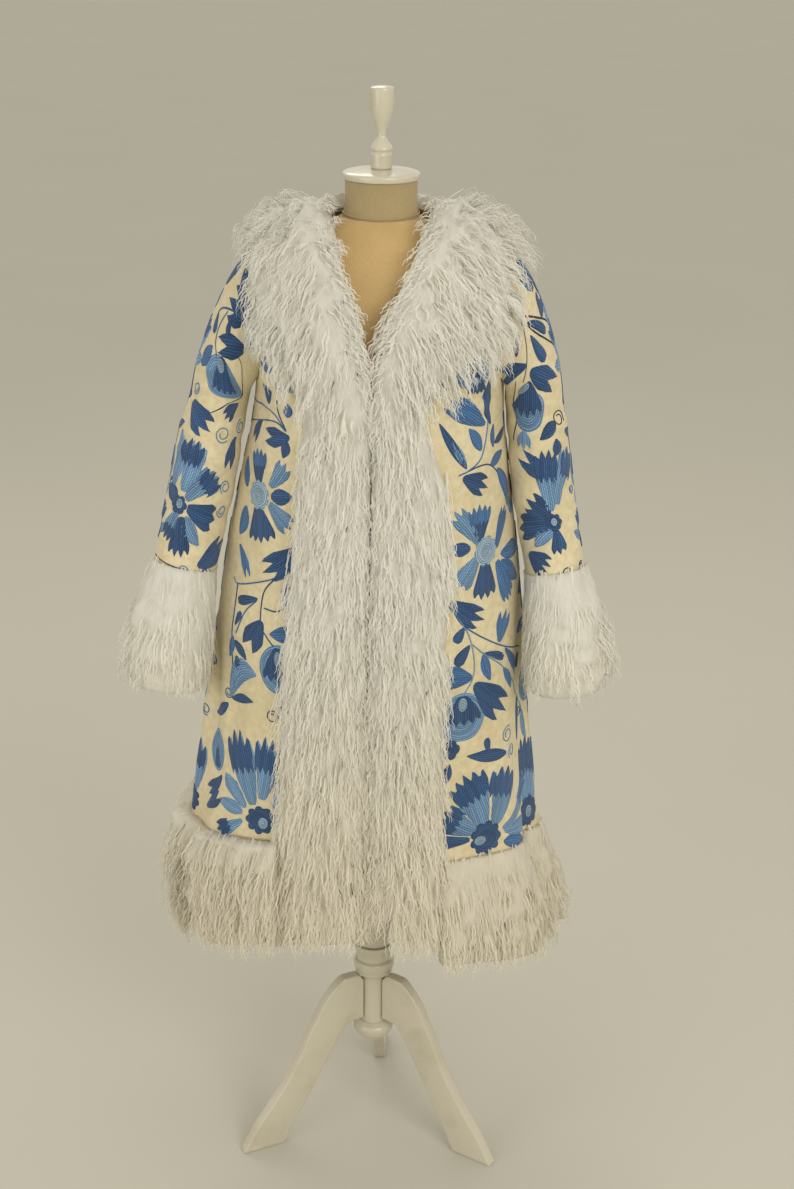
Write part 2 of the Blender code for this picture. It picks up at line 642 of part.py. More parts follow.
def make_hem_fur():
    """Fur below the hem: two front pieces, from the front fur to the side seams, and the back."""
    lowest = min(min(row[1:]) for row in HEM_BOTTOM_ROWS)
    heights = np.linspace(lowest, HEM_HEIGHT - SEAM_GAP, HEM_FUR_ROWS + 1)
    for side in (LEFT, RIGHT):
        outer = front_grid(side, heights)[:, BAND_COLUMNS:]
        outer[:, 0] += (outer[:, 1] - outer[:, 0]) * 0.06
        girth = np.linspace(0.35, 1.0, outer.shape[1])
        bottoms = column(HEM_BOTTOM_ROWS, HEM_BOTTOM_COLUMNS, side_name(side), girth)
        outer = hang_to(outer, heights, bottoms)
        normals = grid_normals(outer) * side
        normals[:, -1] = level(normals[:, -1], 1)
        sides = np.full(outer.shape[1], 1.0 if side == LEFT else 0.0)
        depth = hem_depths(outer.shape[:2], sides, 2.0 * side)
        depth[:, 0] *= 0.8
        made = outer + depth[:, :, None] * normals
        wall("fur_hem_" + side_name(side), made, outer - CLOTH * normals, "fur")
    outer = back_grid(heights)
    girth = 2 - np.abs(np.arange(outer.shape[1]) / HALF_BACK_COLUMNS - 1)
    halves = [column(HEM_BOTTOM_ROWS, HEM_BOTTOM_COLUMNS, n, girth) for n in ("right", "left")]
    middle = HALF_BACK_COLUMNS
    outer = hang_to(outer, heights, np.concatenate((halves[0][:middle], halves[1][middle:])))
    normals = -grid_normals(outer)
    for j in (0, -1):
        normals[:, j] = level(normals[:, j], 1)
    depth = hem_depths(outer.shape[:2], np.linspace(0.0, 1.0, outer.shape[1]), 0.9)
    wall("fur_hem_back", outer + depth[:, :, None] * normals, outer - CLOTH * normals, "fur")


def sleeve_frame(side, z):
    """Centre, half width, half depth and axes of the sleeve's section at a height."""
    which = side_name(side)

    def value(key, at):
        return float(column(SLEEVE_ROWS[::-1], SLEEVE_COLUMNS, key, at))

    def middle(at):
        return np.array((side * value("x_" + which, at), value("y", at), at))

    step = 0.01
    down = middle(z - step) - middle(z + step)
    down /= np.linalg.norm(down)
    out = np.array((side, 0.0, 0.0)) - down * down[0] * side
    out /= np.linalg.norm(out)
    fore = np.cross(down, out) * side
    return middle(z), value("half_" + which, z), value("half_depth", z), down, out, fore


def sleeve_ring(side, z, turns):
    """Points of one sleeve section, from the underarm over the front to the top and round."""
    centre, wide, deep, _, out, fore = sleeve_frame(side, z)
    sign = 1.0 if fore[1] > 0 else -1.0
    return (centre - wide * np.cos(turns)[:, None] * out
            - sign * deep * np.sin(turns)[:, None] * fore)


def armhole_ring(side, front_rim, back_rim):
    """The loop of the armhole, from the underarm up the front and down the back."""
    under = 0.5 * (front_rim[0] + back_rim[0])
    tip = 0.5 * (front_rim[-1] + back_rim[-1])
    loop = np.concatenate(((under,), front_rim[1:-1], (tip,), back_rim[-2:0:-1]))
    return loop + np.array((side * SEAM_GAP, 0.0, 0.0))


def sleeve_grid(side, loop):
    """Outer points of a sleeve: the head from the armhole, then the arm down to the cuff."""
    closed = np.concatenate((loop, loop[:1]))
    along = lengths(closed)[:-1] / lengths(closed)[-1]
    turns = 2 * math.pi * along
    half = len(loop) // 2
    turns[:half + 1] = math.pi * along[:half + 1] / along[half]
    turns[half:] = math.pi + math.pi * (along[half:] - along[half]) / (1 - along[half])
    top_z = SLEEVE_ROWS[0][0]
    biceps = sleeve_ring(side, top_z, turns)
    down = sleeve_frame(side, top_z)[3]
    over = (1 - np.cos(turns)) / 2
    chord = np.linalg.norm(biceps - loop, axis=1)
    leave = np.stack((side * (0.55 + 0.45 * over), np.zeros(len(over)), -0.75 + 0.85 * over), axis=1)
    leave = leave / np.linalg.norm(leave, axis=1)[:, None] * (chord * (0.95 + (HEAD_FULLNESS[side] - 0.95) * over))[:, None]
    arrive = down * (chord * 0.95)[:, None]
    grid = []
    for t in np.linspace(0.0, 1.0, SLEEVE_HEAD_ROWS + 1)[:-1]:
        h00, h10 = 2 * t**3 - 3 * t**2 + 1, t**3 - 2 * t**2 + t
        h01, h11 = -2 * t**3 + 3 * t**2, t**3 - t**2
        grid.append(h00 * loop + h10 * leave + h01 * biceps + h11 * arrive)
    for z in np.linspace(top_z, SLEEVE_END, SLEEVE_ARM_ROWS + 1):
        grid.append(sleeve_ring(side, z, turns))
    return np.array(grid), turns


def crease(grid, turns, side):
    """Presses the elbow and underarm creases into the arm."""
    grid = np.array(grid)
    normals = -grid_normals(grid, ring=True) * side
    arm = np.linspace(0.0, 1.0, SLEEVE_ARM_ROWS + 1)
    angle = 180.0 - np.degrees(turns)
    for share, where, depth, along, around in SLEEVE_CREASES:
        apart = (angle - where + 180.0) % 360.0 - 180.0
        for i, s in enumerate(arm):
            drop = depth * np.exp(-(((s - share) / along) ** 2) - (apart / around) ** 2)
            grid[SLEEVE_HEAD_ROWS + i] -= drop[:, None] * normals[SLEEVE_HEAD_ROWS + i]
    return grid


def make_sleeves(front_rims, back_rims):
    for side, name in ((LEFT, "sleeve_left"), (RIGHT, "sleeve_right")):
        loop = armhole_ring(side, front_rims[side], back_rims[side])
        grid, turns = sleeve_grid(side, loop)
        grid = crease(grid, turns, side)
        normals = ring_normals(grid)
        normals[0] = level(normals[0], 0)
        wall(name, grid, grid - CLOTH * normals, "cloth", ring=True)
        make_cuff(side, turns)


def ring_normals(grid):
    """Normals of a ring grid that point away from each ring's middle."""
    normals = grid_normals(grid, ring=True)
    away = grid - grid.mean(axis=1)[:, None, :]
    if np.einsum("ijk,ijk->", normals, away) < 0:
        normals = -normals
    return normals


def make_cuff(side, turns):
    """Fur round the wrist: it swells outward and lies flat against the skirt."""
    name = "fur_cuff_left" if side == LEFT else "fur_cuff_right"
    heights = np.linspace(SLEEVE_END - SEAM_GAP, CUFF_BOTTOM, CUFF_ROWS + 1)
    inner = np.array([sleeve_ring(side, z, turns) for z in heights])
    normals = ring_normals(inner)
    down = np.linspace(0.0, 1.0, CUFF_ROWS + 1)
    over = (1 - np.cos(turns)) / 2
    share = CUFF_INSIDE_SHARE + (1 - CUFF_INSIDE_SHARE) * np.clip(over * 1.7, 0.0, 1.0)
    depth = pile(CUFF_PILE, down)[:, None] * share[None, :] * lumps(len(down), len(turns), 0.3)
    wall(name, inner + depth[:, :, None] * normals, inner - CLOTH * normals, "fur", ring=True)


def make_form():
    """Torso of the dress form, its neck, the lid on the neck and the finial."""
    angles = np.linspace(0.0, 2 * math.pi, FORM_SIDES, endpoint=False)
    power = 2.0 / FORM_SQUARENESS
    points = []
    for z, wide, front, back in FORM_ROWS:
        for a in angles:
            c, s = math.cos(a), math.sin(a)
            deep = back if s > 0 else front
            points.append((wide * math.copysign(abs(c) ** power, c),
                           deep * math.copysign(abs(s) ** power, s), z))
    closed_loft("form_torso", points, FORM_SIDES, len(FORM_ROWS), "jersey")
    turned("form_neck", NECK_ROWS, "jersey", sides=FORM_SIDES)
    turned("form_lid", CAP_PROFILE, "lacquer", sides=FORM_SIDES)
    turned("form_finial", FINIAL_PROFILE, "lacquer")


def make_stand():
    turned("stand_pole", POLE_PROFILE, "lacquer")
    turned("stand_stem", STEM_PROFILE, "lacquer")
    turned("stand_knob", KNOB_PROFILE, "lacquer")
    for number, name in enumerate(("leg_left", "leg_back", "leg_right")):
        make_leg(name, math.radians(60.0 + LEG_TURN + LEG_SPACING * number))


def make_leg(name, angle):
    """A curved board that stands upright and runs out from the stem."""
    outline = curve_through(LEG_OUTER, 2) + curve_through(LEG_INNER, 2)
    along = np.array((math.sin(angle), -math.cos(angle), 0.0))
    across = np.array((math.cos(angle), math.sin(angle), 0.0)) * 0.5 * LEG_THICKNESS
    points = [r * along + (0.0, 0.0, z) + s * across for s in (-1, 1) for r, z in outline]
    count = len(outline)
    faces = [tuple(range(count)), tuple(range(2 * count - 1, count - 1, -1))]
    for j in range(count):
        k = (j + 1) % count
        faces.append((k, j, count + j, count + k))
    add_object(name, points, faces, "lacquer")


def curve_through(points, between):
    """Points on a smooth curve through the given ones, with some added in between."""
    p = np.array(points, float)
    t = np.arange(len(p))
    fine = np.linspace(0, len(p) - 1, (len(p) - 1) * between + 1)
    return list(zip(smooth(t, p[:, 0], fine), smooth(t, p[:, 1], fine)))


def main():
    for old in list(bpy.data.objects):
        bpy.data.objects.remove(old)
    front_rims = make_fronts()
    back_rims = make_back()
    make_sleeves(front_rims, back_rims)
    make_front_fur()
    make_collar()
    make_hem_fur()
    make_form()
    make_stand()
    for made in bpy.context.scene.collection.objects:
        made.location = ORIGIN_SHIFT


main()
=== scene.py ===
import math

import bpy
import numpy as np
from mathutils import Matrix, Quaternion


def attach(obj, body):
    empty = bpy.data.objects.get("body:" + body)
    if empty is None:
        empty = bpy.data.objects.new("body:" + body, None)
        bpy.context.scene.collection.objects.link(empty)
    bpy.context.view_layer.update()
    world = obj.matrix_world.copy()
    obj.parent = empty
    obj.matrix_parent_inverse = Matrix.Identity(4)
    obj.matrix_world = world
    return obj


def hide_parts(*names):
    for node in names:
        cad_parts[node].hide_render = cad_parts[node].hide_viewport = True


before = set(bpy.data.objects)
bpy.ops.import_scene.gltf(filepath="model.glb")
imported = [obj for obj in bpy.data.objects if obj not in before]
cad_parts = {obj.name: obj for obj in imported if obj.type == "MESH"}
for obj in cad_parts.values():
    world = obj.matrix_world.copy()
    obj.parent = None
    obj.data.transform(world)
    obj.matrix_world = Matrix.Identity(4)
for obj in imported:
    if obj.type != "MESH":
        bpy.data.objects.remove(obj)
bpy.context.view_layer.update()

# A fur-trimmed coat of embroidered cotton on a limbless dress form with a tripod stand.
# Metres, the front faces -Y; side 1 is the wearer's left, -1 the right.

coat = {
    "shift": (0.014, -0.004, 0.0),   # from the stand's axis to the middle of the outline
    "wall": 0.0018,                  # thickness of the cotton, metres
    "hemHeight": 0.600,
    "underarmHeight": 1.330,
    "neckHeight": 1.580,
    "rowStep": 0.0050,               # grid of the cloth, metres
    "columnStep": 0.0050,
    "frontGirth": 0.37,              # half girths from which the columns are counted
    "backGirth": 0.36,
    "liningStep": 3,                 # the lining has every third row and column
    "hemFade": 0.16,                 # height over which the uneven hem runs out into the cloth
    "seamGap": 0.0004,
    "furLift": 0.0004,
    "edgeTurn": 0.009,               # how far the front fur rolls round the front edge
}
bodyNames = ("z", "halfWidth", "front", "back", "centreX", "meetX")
bodyRows = (
    (0.380, 0.292, 0.212, 0.205, -0.002, -0.012), (0.600, 0.274, 0.196, 0.188, -0.015, -0.012),
    (0.760, 0.257, 0.184, 0.172, -0.015, -0.012), (0.870, 0.247, 0.176, 0.160, -0.013, -0.012),
    (1.000, 0.234, 0.166, 0.147, -0.010, -0.011), (1.100, 0.221, 0.158, 0.138, -0.008, -0.010),
    (1.200, 0.204, 0.151, 0.133, -0.004, -0.009), (1.270, 0.192, 0.147, 0.132, -0.001, -0.009),
    (1.330, 0.187, 0.144, 0.131, 0.001, -0.008),
)
edgeNames = ("share", "x", "y", "z")
frontEdge = (
    (0.00, 0.010, -0.144, 1.330), (0.20, 0.012, -0.142, 1.378), (0.45, 0.026, -0.128, 1.446),
    (0.70, 0.052, -0.100, 1.510), (0.88, 0.067, -0.056, 1.558), (1.00, 0.077, 0.004, 1.580),
)
neckMiddle = ((0.00, -0.0080), (0.20, -0.0090), (0.45, -0.0095), (0.70, -0.0050), (1.00, 0.0))
armholeFront = (
    (0.00, 0.187, 0.000, 1.330), (0.14, 0.181, -0.036, 1.343), (0.40, 0.1755, -0.058, 1.395),
    (0.70, 0.1755, -0.048, 1.466), (0.90, 0.1770, -0.022, 1.515), (1.00, 0.1780, 0.004, 1.530),
)
armholeBack = (
    (0.00, 0.187, 0.000, 1.330), (0.14, 0.182, 0.037, 1.345), (0.40, 0.179, 0.060, 1.400),
    (0.70, 0.179, 0.052, 1.472), (0.90, 0.1785, 0.026, 1.517), (1.00, 0.1780, 0.004, 1.530),
)
backMiddle = (
    (0.00, 0.000, 0.131, 1.330), (0.40, 0.000, 0.133, 1.440), (0.70, 0.000, 0.115, 1.522),
    (0.90, 0.000, 0.086, 1.568), (1.00, 0.000, 0.066, 1.585),
)
necklineShare = 0.48
necklineBlend = 0.55
# how far the front fur reaches over the cloth: height, left, right
furReach = (
    (0.400, 0.112, 0.128), (0.700, 0.108, 0.126), (0.860, 0.106, 0.120), (1.000, 0.108, 0.112),
    (1.100, 0.112, 0.106), (1.200, 0.100, 0.098), (1.260, 0.080, 0.090), (1.310, 0.066, 0.092),
    (1.360, 0.086, 0.106), (1.420, 0.128, 0.134), (1.470, 0.164, 0.168), (1.580, 0.125, 0.125),
)
# soft flutes of the skirt: place round the half coat, width, depth at the hem, height where they start
flutes = {
    1: ((0.62, 0.13, 0.008, 0.98), (0.86, 0.09, -0.014, 1.10), (1.05, 0.11, 0.012, 1.05),
        (1.32, 0.12, -0.015, 0.98), (1.58, 0.12, 0.014, 1.02), (1.84, 0.12, -0.014, 1.00)),
    -1: ((0.66, 0.12, 0.010, 1.00), (0.88, 0.07, 0.014, 1.12), (1.02, 0.07, -0.018, 1.12),
         (1.24, 0.12, 0.014, 1.00), (1.50, 0.13, -0.015, 1.04), (1.78, 0.12, 0.014, 1.00)),
}
sleeve = {
    "end": 1.045,
    "cuffBottom": 0.858,
    "fullness": {1: 0.55, -1: 0.42},
    "names": ("z", "x1", "half1", "x-1", "half-1", "y", "deep"),
    "rows": (
        (1.305, 0.2340, 0.0440, 0.2405, 0.0440, -0.008, 0.0620),
        (1.235, 0.2430, 0.0465, 0.2570, 0.0490, -0.016, 0.0600),
        (1.150, 0.2545, 0.0475, 0.2735, 0.0500, -0.028, 0.0570),
        (1.045, 0.2737, 0.0453, 0.2965, 0.0475, -0.048, 0.0520),
        (0.950, 0.2860, 0.0460, 0.3110, 0.0470, -0.068, 0.0510),
        (0.850, 0.2930, 0.0460, 0.3240, 0.0470, -0.090, 0.0510),
    ),
    # share down the arm, angle (0 outside, 90 front, 180 inside), depth, reach along, reach round
    "creases": (
        (0.06, 135.0, 0.0050, 0.05, 42.0), (0.22, 150.0, 0.0045, 0.05, 50.0),
        (0.45, 120.0, 0.0040, 0.06, 55.0), (0.66, 150.0, 0.0045, 0.05, 50.0),
        (0.86, 100.0, 0.0030, 0.05, 60.0),
    ),
    "headRows": 38,
    "armRows": 56,
    "columns": 84,
}


def smooth(places, values, at):
    # cubic through a few points, flat where they turn, so it never overshoots
    places, values = np.asarray(places, float), np.asarray(values, float)
    at = np.clip(np.asarray(at, float), places[0], places[-1])
    steps = np.diff(places)
    slopes = np.diff(values) / steps
    tangents = np.concatenate((slopes[:1], 0.5 * (slopes[:-1] + slopes[1:]), slopes[-1:]))
    tangents[1:-1][slopes[:-1] * slopes[1:] <= 0] = 0.0
    limit = 3.0 * np.minimum(np.abs(slopes[:-1]), np.abs(slopes[1:]))
    tangents[1:-1] = np.clip(tangents[1:-1], -limit, limit)
    i = np.clip(np.searchsorted(places, at, side="right") - 1, 0, len(steps) - 1)
    t = (at - places[i]) / steps[i]
    return cubic(t, values[i], values[i + 1], steps[i] * tangents[i], steps[i] * tangents[i + 1])


def cubic(t, start, end, leave, arrive):
    # from start to end, setting off along leave and coming in along arrive
    return ((2 * t**3 - 3 * t**2 + 1) * start + (t**3 - 2 * t**2 + t) * leave
            + (3 * t**2 - 2 * t**3) * end + (t**3 - t**2) * arrive)


def eased(t):
    # 0 to 1 with a soft start and a soft end
    t = np.clip(t, 0.0, 1.0)
    return t * t * (3 - 2 * t)


def roundTurns(count):
    # angles round a whole turn, its start not repeated
    return np.linspace(0.0, 2 * math.pi, count, endpoint=False)


def column(rows, names, name, at):
    table = np.array(rows, float)
    return smooth(table[:, 0], table[:, names.index(name)], at)


def edgePoint(rows, share, side):
    x, y, z = (float(column(rows, edgeNames, n, share)) for n in ("x", "y", "z"))
    return np.array((side * x, y, z))


def yokeShare(h):
    return (h - coat["underarmHeight"]) / (coat["neckHeight"] - coat["underarmHeight"])


def bodyValue(name, h):
    return float(column(bodyRows, bodyNames, name, h))


def rowEnds(side, back, h):
    # front edge or back centre, and side seam or armhole, of one row of the cloth
    if h <= coat["underarmHeight"]:
        centre = bodyValue("centreX", h)
        depth = bodyValue("back", h) if back else -bodyValue("front", h)
        innerX = centre if back else bodyValue("meetX", h) + side * frontEdge[0][1]
        return np.array((innerX, depth, h)), np.array((centre + side * bodyValue("halfWidth", h), 0.0, h))
    share = yokeShare(h)
    inner = edgePoint(backMiddle if back else frontEdge, share, side)
    outer = edgePoint(armholeBack if back else armholeFront, share, side)
    centre = bodyValue("centreX", coat["underarmHeight"]) * (1 - share)
    inner[0] += centre if back else float(column(neckMiddle, ("share", "x"), "x", share))
    outer[0] += centre
    return inner, outer


def topOfBack(side, shares):
    # shoulder seam and back neckline, by share of the half back from its centre
    neck = edgePoint(frontEdge, 1.0, side)
    shoulder = edgePoint(armholeBack, 1.0, side)
    middle = edgePoint(backMiddle, 1.0, side)
    t = (shares - necklineShare) / (1 - necklineShare)
    seam = neck + (shoulder - neck) * t[:, None]
    turn = 0.5 * math.pi * np.clip(shares / necklineShare, 0, 1)
    line = np.stack((
        neck[0] * np.sin(turn),
        neck[1] + (middle[1] - neck[1]) * np.cos(turn),
        middle[2] + (neck[2] - middle[2]) * np.sin(turn),
    ), axis=1)
    return np.where((shares >= necklineShare)[:, None], seam, line)


def fluteDepth(side, girth, h):
    total = np.zeros(len(girth))
    for where, width, depth, start in flutes[side]:
        fall = np.clip((start - h) / (start - coat["hemHeight"]), 0.0, 1.25) ** 1.3
        total += depth * fall * np.exp(-(((girth - where) / width) ** 2))
    return total


def lengthsOf(points):
    steps = np.linalg.norm(np.diff(points, axis=0), axis=1)
    return np.concatenate(((0.0,), np.cumsum(steps)))


def rowCurve(side, back, h, samples=140):
    # one row of half the coat, from the front edge or the back's middle to the side
    inner, outer = rowEnds(side, back, h)
    turns = np.linspace(0.0, 0.5 * math.pi, samples)
    points = outer + (inner - outer) * np.cos(turns)[:, None]
    points[:, 0] = inner[0] + (outer[0] - inner[0]) * np.sin(turns)
    if not back:
        points[:, 2] = inner[2] + (outer[2] - inner[2]) * np.sin(turns)
    out = np.stack((
        np.sin(turns) * abs(inner[1] - outer[1]) * side,
        np.cos(turns) * abs(outer[0] - inner[0]) * (1 if back else -1),
        np.zeros(samples),
    ), axis=1)
    out /= np.linalg.norm(out, axis=1)[:, None]
    if back and h > coat["underarmHeight"]:
        lean = eased((yokeShare(h) - necklineBlend) / (1 - necklineBlend))
        along = lengthsOf(points)
        points = points * (1 - lean) + topOfBack(side, along / along[-1]) * lean
    girth = turns / (0.5 * math.pi)
    girth = 2 - girth if back else girth
    return points + fluteDepth(side, girth, h)[:, None] * out


def backRow(h, count, gap=0.0):
    # one row right across the back, with the length of each half up to a gap at the side
    halves, totals = [], []
    for side in (-1, 1):
        line = rowCurve(side, True, h)
        totals.append(lengthsOf(line)[-1] - gap)
        halves.append(atLengths(line, np.linspace(0.0, totals[-1], count)))
    middle = 0.5 * (halves[0][:1] + halves[1][:1])
    return np.concatenate((halves[0][:0:-1], middle, halves[1][1:])), totals


def atLengths(points, wanted):
    # points at given distances along a line; before its start it runs on straight
    along = lengthsOf(points)
    inside = np.stack([np.interp(wanted, along, points[:, k]) for k in range(3)], axis=1)
    start = (points[1] - points[0]) / np.linalg.norm(points[1] - points[0])
    return inside + np.minimum(np.asarray(wanted), 0.0)[:, None] * start


def reachAt(side, h):
    return float(smooth([r[0] for r in furReach], [r[1 if side > 0 else 2] for r in furReach], h))


def gridNormals(grid, ring=False):
    if ring:
        across = np.roll(grid, -1, axis=1) - np.roll(grid, 1, axis=1)
    else:
        across = np.gradient(grid, axis=1)
    normals = np.cross(across, np.gradient(grid, axis=0))
    return normals / np.maximum(np.linalg.norm(normals, axis=2), 1e-12)[:, :, None]


# how far the hem line hangs above the plain one: girth from the front edge by the side seam (1)
# to the back's middle (2), then the left and the right half in metres
hemLine = ((0.0, 0.0, 0.030), (0.35, 0.0, 0.032), (0.50, -0.001, 0.022), (0.75, -0.008, 0.010),
           (1.0, -0.026, 0.014), (1.5, -0.008, 0.004), (2.0, 0.0, 0.0))


def hemShift(girth, left):
    table = np.array(hemLine)
    halves = [np.interp(girth, table[:, 0], table[:, k]) for k in (1, 2)]
    return np.where(left, *halves)


def hemShare(heights):
    return eased(1 - (heights - coat["hemHeight"]) / coat["hemFade"])


def clothHeights():
    count = round((coat["neckHeight"] - coat["hemHeight"]) / coat["rowStep"])
    return np.linspace(coat["hemHeight"], coat["neckHeight"], count + 1)


def frontSurface(side):
    # grid of one front, rows from the hem up, columns from the front edge to the side seam
    heights = clothHeights()
    columns = round(coat["frontGirth"] / coat["columnStep"])
    points, widths, starts = [], [], []
    for h in heights:
        line = rowCurve(side, False, h)
        widths.append(lengthsOf(line)[-1] - 0.5 * coat["seamGap"])
        points.append(atLengths(line, np.linspace(0.0, widths[-1], columns + 1)))
        starts.append(abs(line[0][0] - bodyValue("meetX", h)) - frontEdge[0][1])
    points = np.array(points)
    points[-1, :, 1] -= 0.5 * coat["seamGap"]
    points[:, :, 2] += hemShift(np.linspace(0, 1, points.shape[1]), side > 0) * hemShare(heights)[:, None]
    return {"rows": heights, "widths": np.array(widths), "starts": np.array(starts),
            "points": points, "turn": side}


def backSurface():
    # grid of the back, rows from the hem up, columns from the right side seam to the left
    heights = clothHeights()
    columns = round(coat["backGirth"] / coat["columnStep"])
    points, halves = zip(*(backRow(h, columns + 1, 0.5 * coat["seamGap"]) for h in heights))
    points, halves = np.array(points), np.array(halves)
    points[-1, :, 1] += 0.5 * coat["seamGap"]
    across = np.linspace(-1, 1, points.shape[1])
    points[:, :, 2] += hemShift(2 - np.abs(across), across > 0) * hemShare(heights)[:, None]
    return {"rows": heights, "widths": halves.sum(axis=1), "starts": -halves[:, 0],
            "points": points, "turn": -1}


def sleeveFrame(side, z):
    def value(key, at):
        return float(column(sleeve["rows"][::-1], sleeve["names"], key, at))

    def middle(at):
        return np.array((side * value(f"x{side}", at), value("y", at), at))

    down = middle(z - 0.01) - middle(z + 0.01)
    down /= np.linalg.norm(down)
    out = np.array((side, 0.0, 0.0)) - down * down[0] * side
    out /= np.linalg.norm(out)
    fore = np.cross(down, out) * side
    return middle(z), value(f"half{side}", z), value("deep", z), down, out, fore


def sleeveRing(side, z, turns):
    # one section of the sleeve, from the underarm over the front to the outside and round
    centre, wide, deep, _, out, fore = sleeveFrame(side, z)
    sign = 1.0 if fore[1] > 0 else -1.0
    return centre - wide * np.cos(turns)[:, None] * out - sign * deep * np.sin(turns)[:, None] * fore


def sleeveSurface(side):
    # grid of one sleeve, rows from the armhole down to the cuff, columns round the arm
    half = sleeve["columns"] // 2
    loop = []
    for back in (False, True):
        heights = np.linspace(coat["underarmHeight"], coat["neckHeight"], 80)
        rim = np.array([rowCurve(side, back, h)[-1] for h in heights])
        loop.append(atLengths(rim, np.linspace(0.0, lengthsOf(rim)[-1], half + 1)))
    loop = np.concatenate((loop[0][:-1], loop[1][:0:-1])) + np.array((side * coat["seamGap"], 0.0, 0.0))
    turns = roundTurns(2 * half)
    topZ = sleeve["rows"][0][0]
    biceps = sleeveRing(side, topZ, turns)
    down = sleeveFrame(side, topZ)[3]
    # the head leaves the armhole outward, most at the top, and runs into the arm
    over = (1 - np.cos(turns)) / 2
    chord = np.linalg.norm(biceps - loop, axis=1)
    leave = np.stack((side * (0.55 + 0.45 * over), np.zeros(len(over)), -0.75 + 0.85 * over), axis=1)
    pull = chord * (0.95 + (sleeve["fullness"][side] - 0.95) * over)
    leave = leave / np.linalg.norm(leave, axis=1)[:, None] * pull[:, None]
    arrive = down * (chord * 0.95)[:, None]
    grid = [cubic(t, loop, biceps, leave, arrive)
            for t in np.linspace(0.0, 1.0, sleeve["headRows"] + 1)[:-1]]
    grid += [sleeveRing(side, z, turns) for z in np.linspace(topZ, sleeve["end"], sleeve["armRows"] + 1)]
    grid = np.array(grid)
    normals = ringNormals(grid)
    arm = np.clip((topZ - grid[:, :, 2].mean(axis=1)) / (topZ - sleeve["end"]), -1, 1)
    angle = 180.0 - np.degrees(turns)
    fade = np.clip((np.arange(len(grid)) - sleeve["headRows"] + 4) / 5.0, 0, 1)[:, None]
    for share, where, depth, along, around in sleeve["creases"]:
        apart = (angle - where + 180.0) % 360.0 - 180.0
        press = np.exp(-(((arm[:, None] - share) / along) ** 2) - (apart[None, :] / around) ** 2)
        grid -= (depth * press * fade)[:, :, None] * normals
    widths = np.linalg.norm(np.roll(grid, -1, axis=1) - grid, axis=2).sum(axis=1)
    line = lengthsOf(grid[:, round(0.36 * len(turns))])
    return {"rows": line, "widths": widths, "starts": -0.5 * widths, "points": grid, "turn": 0}


def flatPlaces(surface):
    # u and v of every point of a cloth, in metres
    rows, cols = surface["points"].shape[:2]
    share = np.arange(cols) / (cols if surface["turn"] == 0 else cols - 1)
    u = surface["starts"][:, None] + surface["widths"][:, None] * share[None, :]
    return u, np.repeat(surface["rows"][:, None], cols, axis=1)


def ringNormals(grid):
    normals = gridNormals(grid, ring=True)
    if np.einsum("ijk,ijk->", normals, grid - grid.mean(axis=1)[:, None, :]) < 0:
        normals = -normals
    return normals


def surfaceNormals(surface):
    if surface["turn"] == 0:
        return ringNormals(surface["points"])
    return gridNormals(surface["points"]) * surface["turn"]


def bilinear(grid, i, j):
    i = np.clip(i, 0, grid.shape[0] - 1.0001)
    j = np.clip(j, 0, grid.shape[1] - 1.0001)
    a, b = i.astype(int), j.astype(int)
    s, t = (i - a), (j - b)
    if grid.ndim == 3:
        s, t = s[..., None], t[..., None]
    return ((1 - s) * ((1 - t) * grid[a, b] + t * grid[a, b + 1])
            + s * ((1 - t) * grid[a + 1, b] + t * grid[a + 1, b + 1]))


def placeOn(surface, u, v, lift):
    # points over the cloth: u across and v up it, or down a sleeve, in metres; lift is off its face
    points, normals = surface["points"], surface["normals"]
    if surface["turn"] == 0:
        points = np.concatenate((points, points[:, :1]), axis=1)
        normals = np.concatenate((normals, normals[:, :1]), axis=1)
    i = np.interp(v, surface["rows"], np.arange(len(surface["rows"])))
    widths = np.interp(i, np.arange(len(surface["widths"])), surface["widths"])
    starts = np.interp(i, np.arange(len(surface["starts"])), surface["starts"])
    j = np.clip((u - starts) / widths, 0.0, 1.0) * (points.shape[1] - 1)
    made = bilinear(points, i, j)
    return made + bilinear(normals, i, j) * np.asarray(lift)[..., None]


# creases pressed into the cloth: start and end on the cloth, depth and half width, all mm;
# a negative depth is a raised fold
frontCreases = {
    1: ((205, 1325, 150, 1290, 3.0, 9), (262, 1240, 232, 1120, 2.0, 14), (215, 1110, 240, 960, -2.0, 16),
        (285, 960, 300, 640, 2.6, 18), (190, 900, 205, 640, -2.2, 17), (340, 1050, 352, 640, -2.4, 16),
        (150, 1180, 170, 1060, 1.6, 13), (240, 800, 262, 620, 1.8, 12), (180, 1440, 160, 1370, 1.8, 9)),
    -1: ((200, 1322, 160, 1285, 2.6, 9), (255, 1235, 262, 1090, 2.4, 13), (150, 1150, 168, 1010, -1.8, 15),
         (300, 1060, 318, 640, 3.4, 13), (336, 1040, 350, 620, -3.0, 13), (230, 930, 238, 630, 2.4, 16),
         (175, 860, 186, 620, -2.0, 15), (180, 1430, 166, 1372, 1.6, 9), (280, 840, 276, 640, -1.8, 12)),
}
backCreases = (
    (-170, 1330, -120, 1250, 2.4, 12), (172, 1328, 124, 1246, 2.6, 12), (-60, 1180, -70, 980, 2.0, 18),
    (52, 1160, 66, 930, -2.2, 18), (-150, 1120, -190, 660, 2.6, 20), (148, 1090, 196, 640, 2.4, 20),
    (-20, 980, -14, 640, 2.2, 17), (-260, 1020, -300, 640, -2.4, 18), (252, 1040, 296, 640, -2.6, 17),
    (100, 900, 108, 640, -1.8, 14), (-96, 880, -104, 640, -2.0, 14), (0, 1400, -4, 1290, 1.4, 14),
)
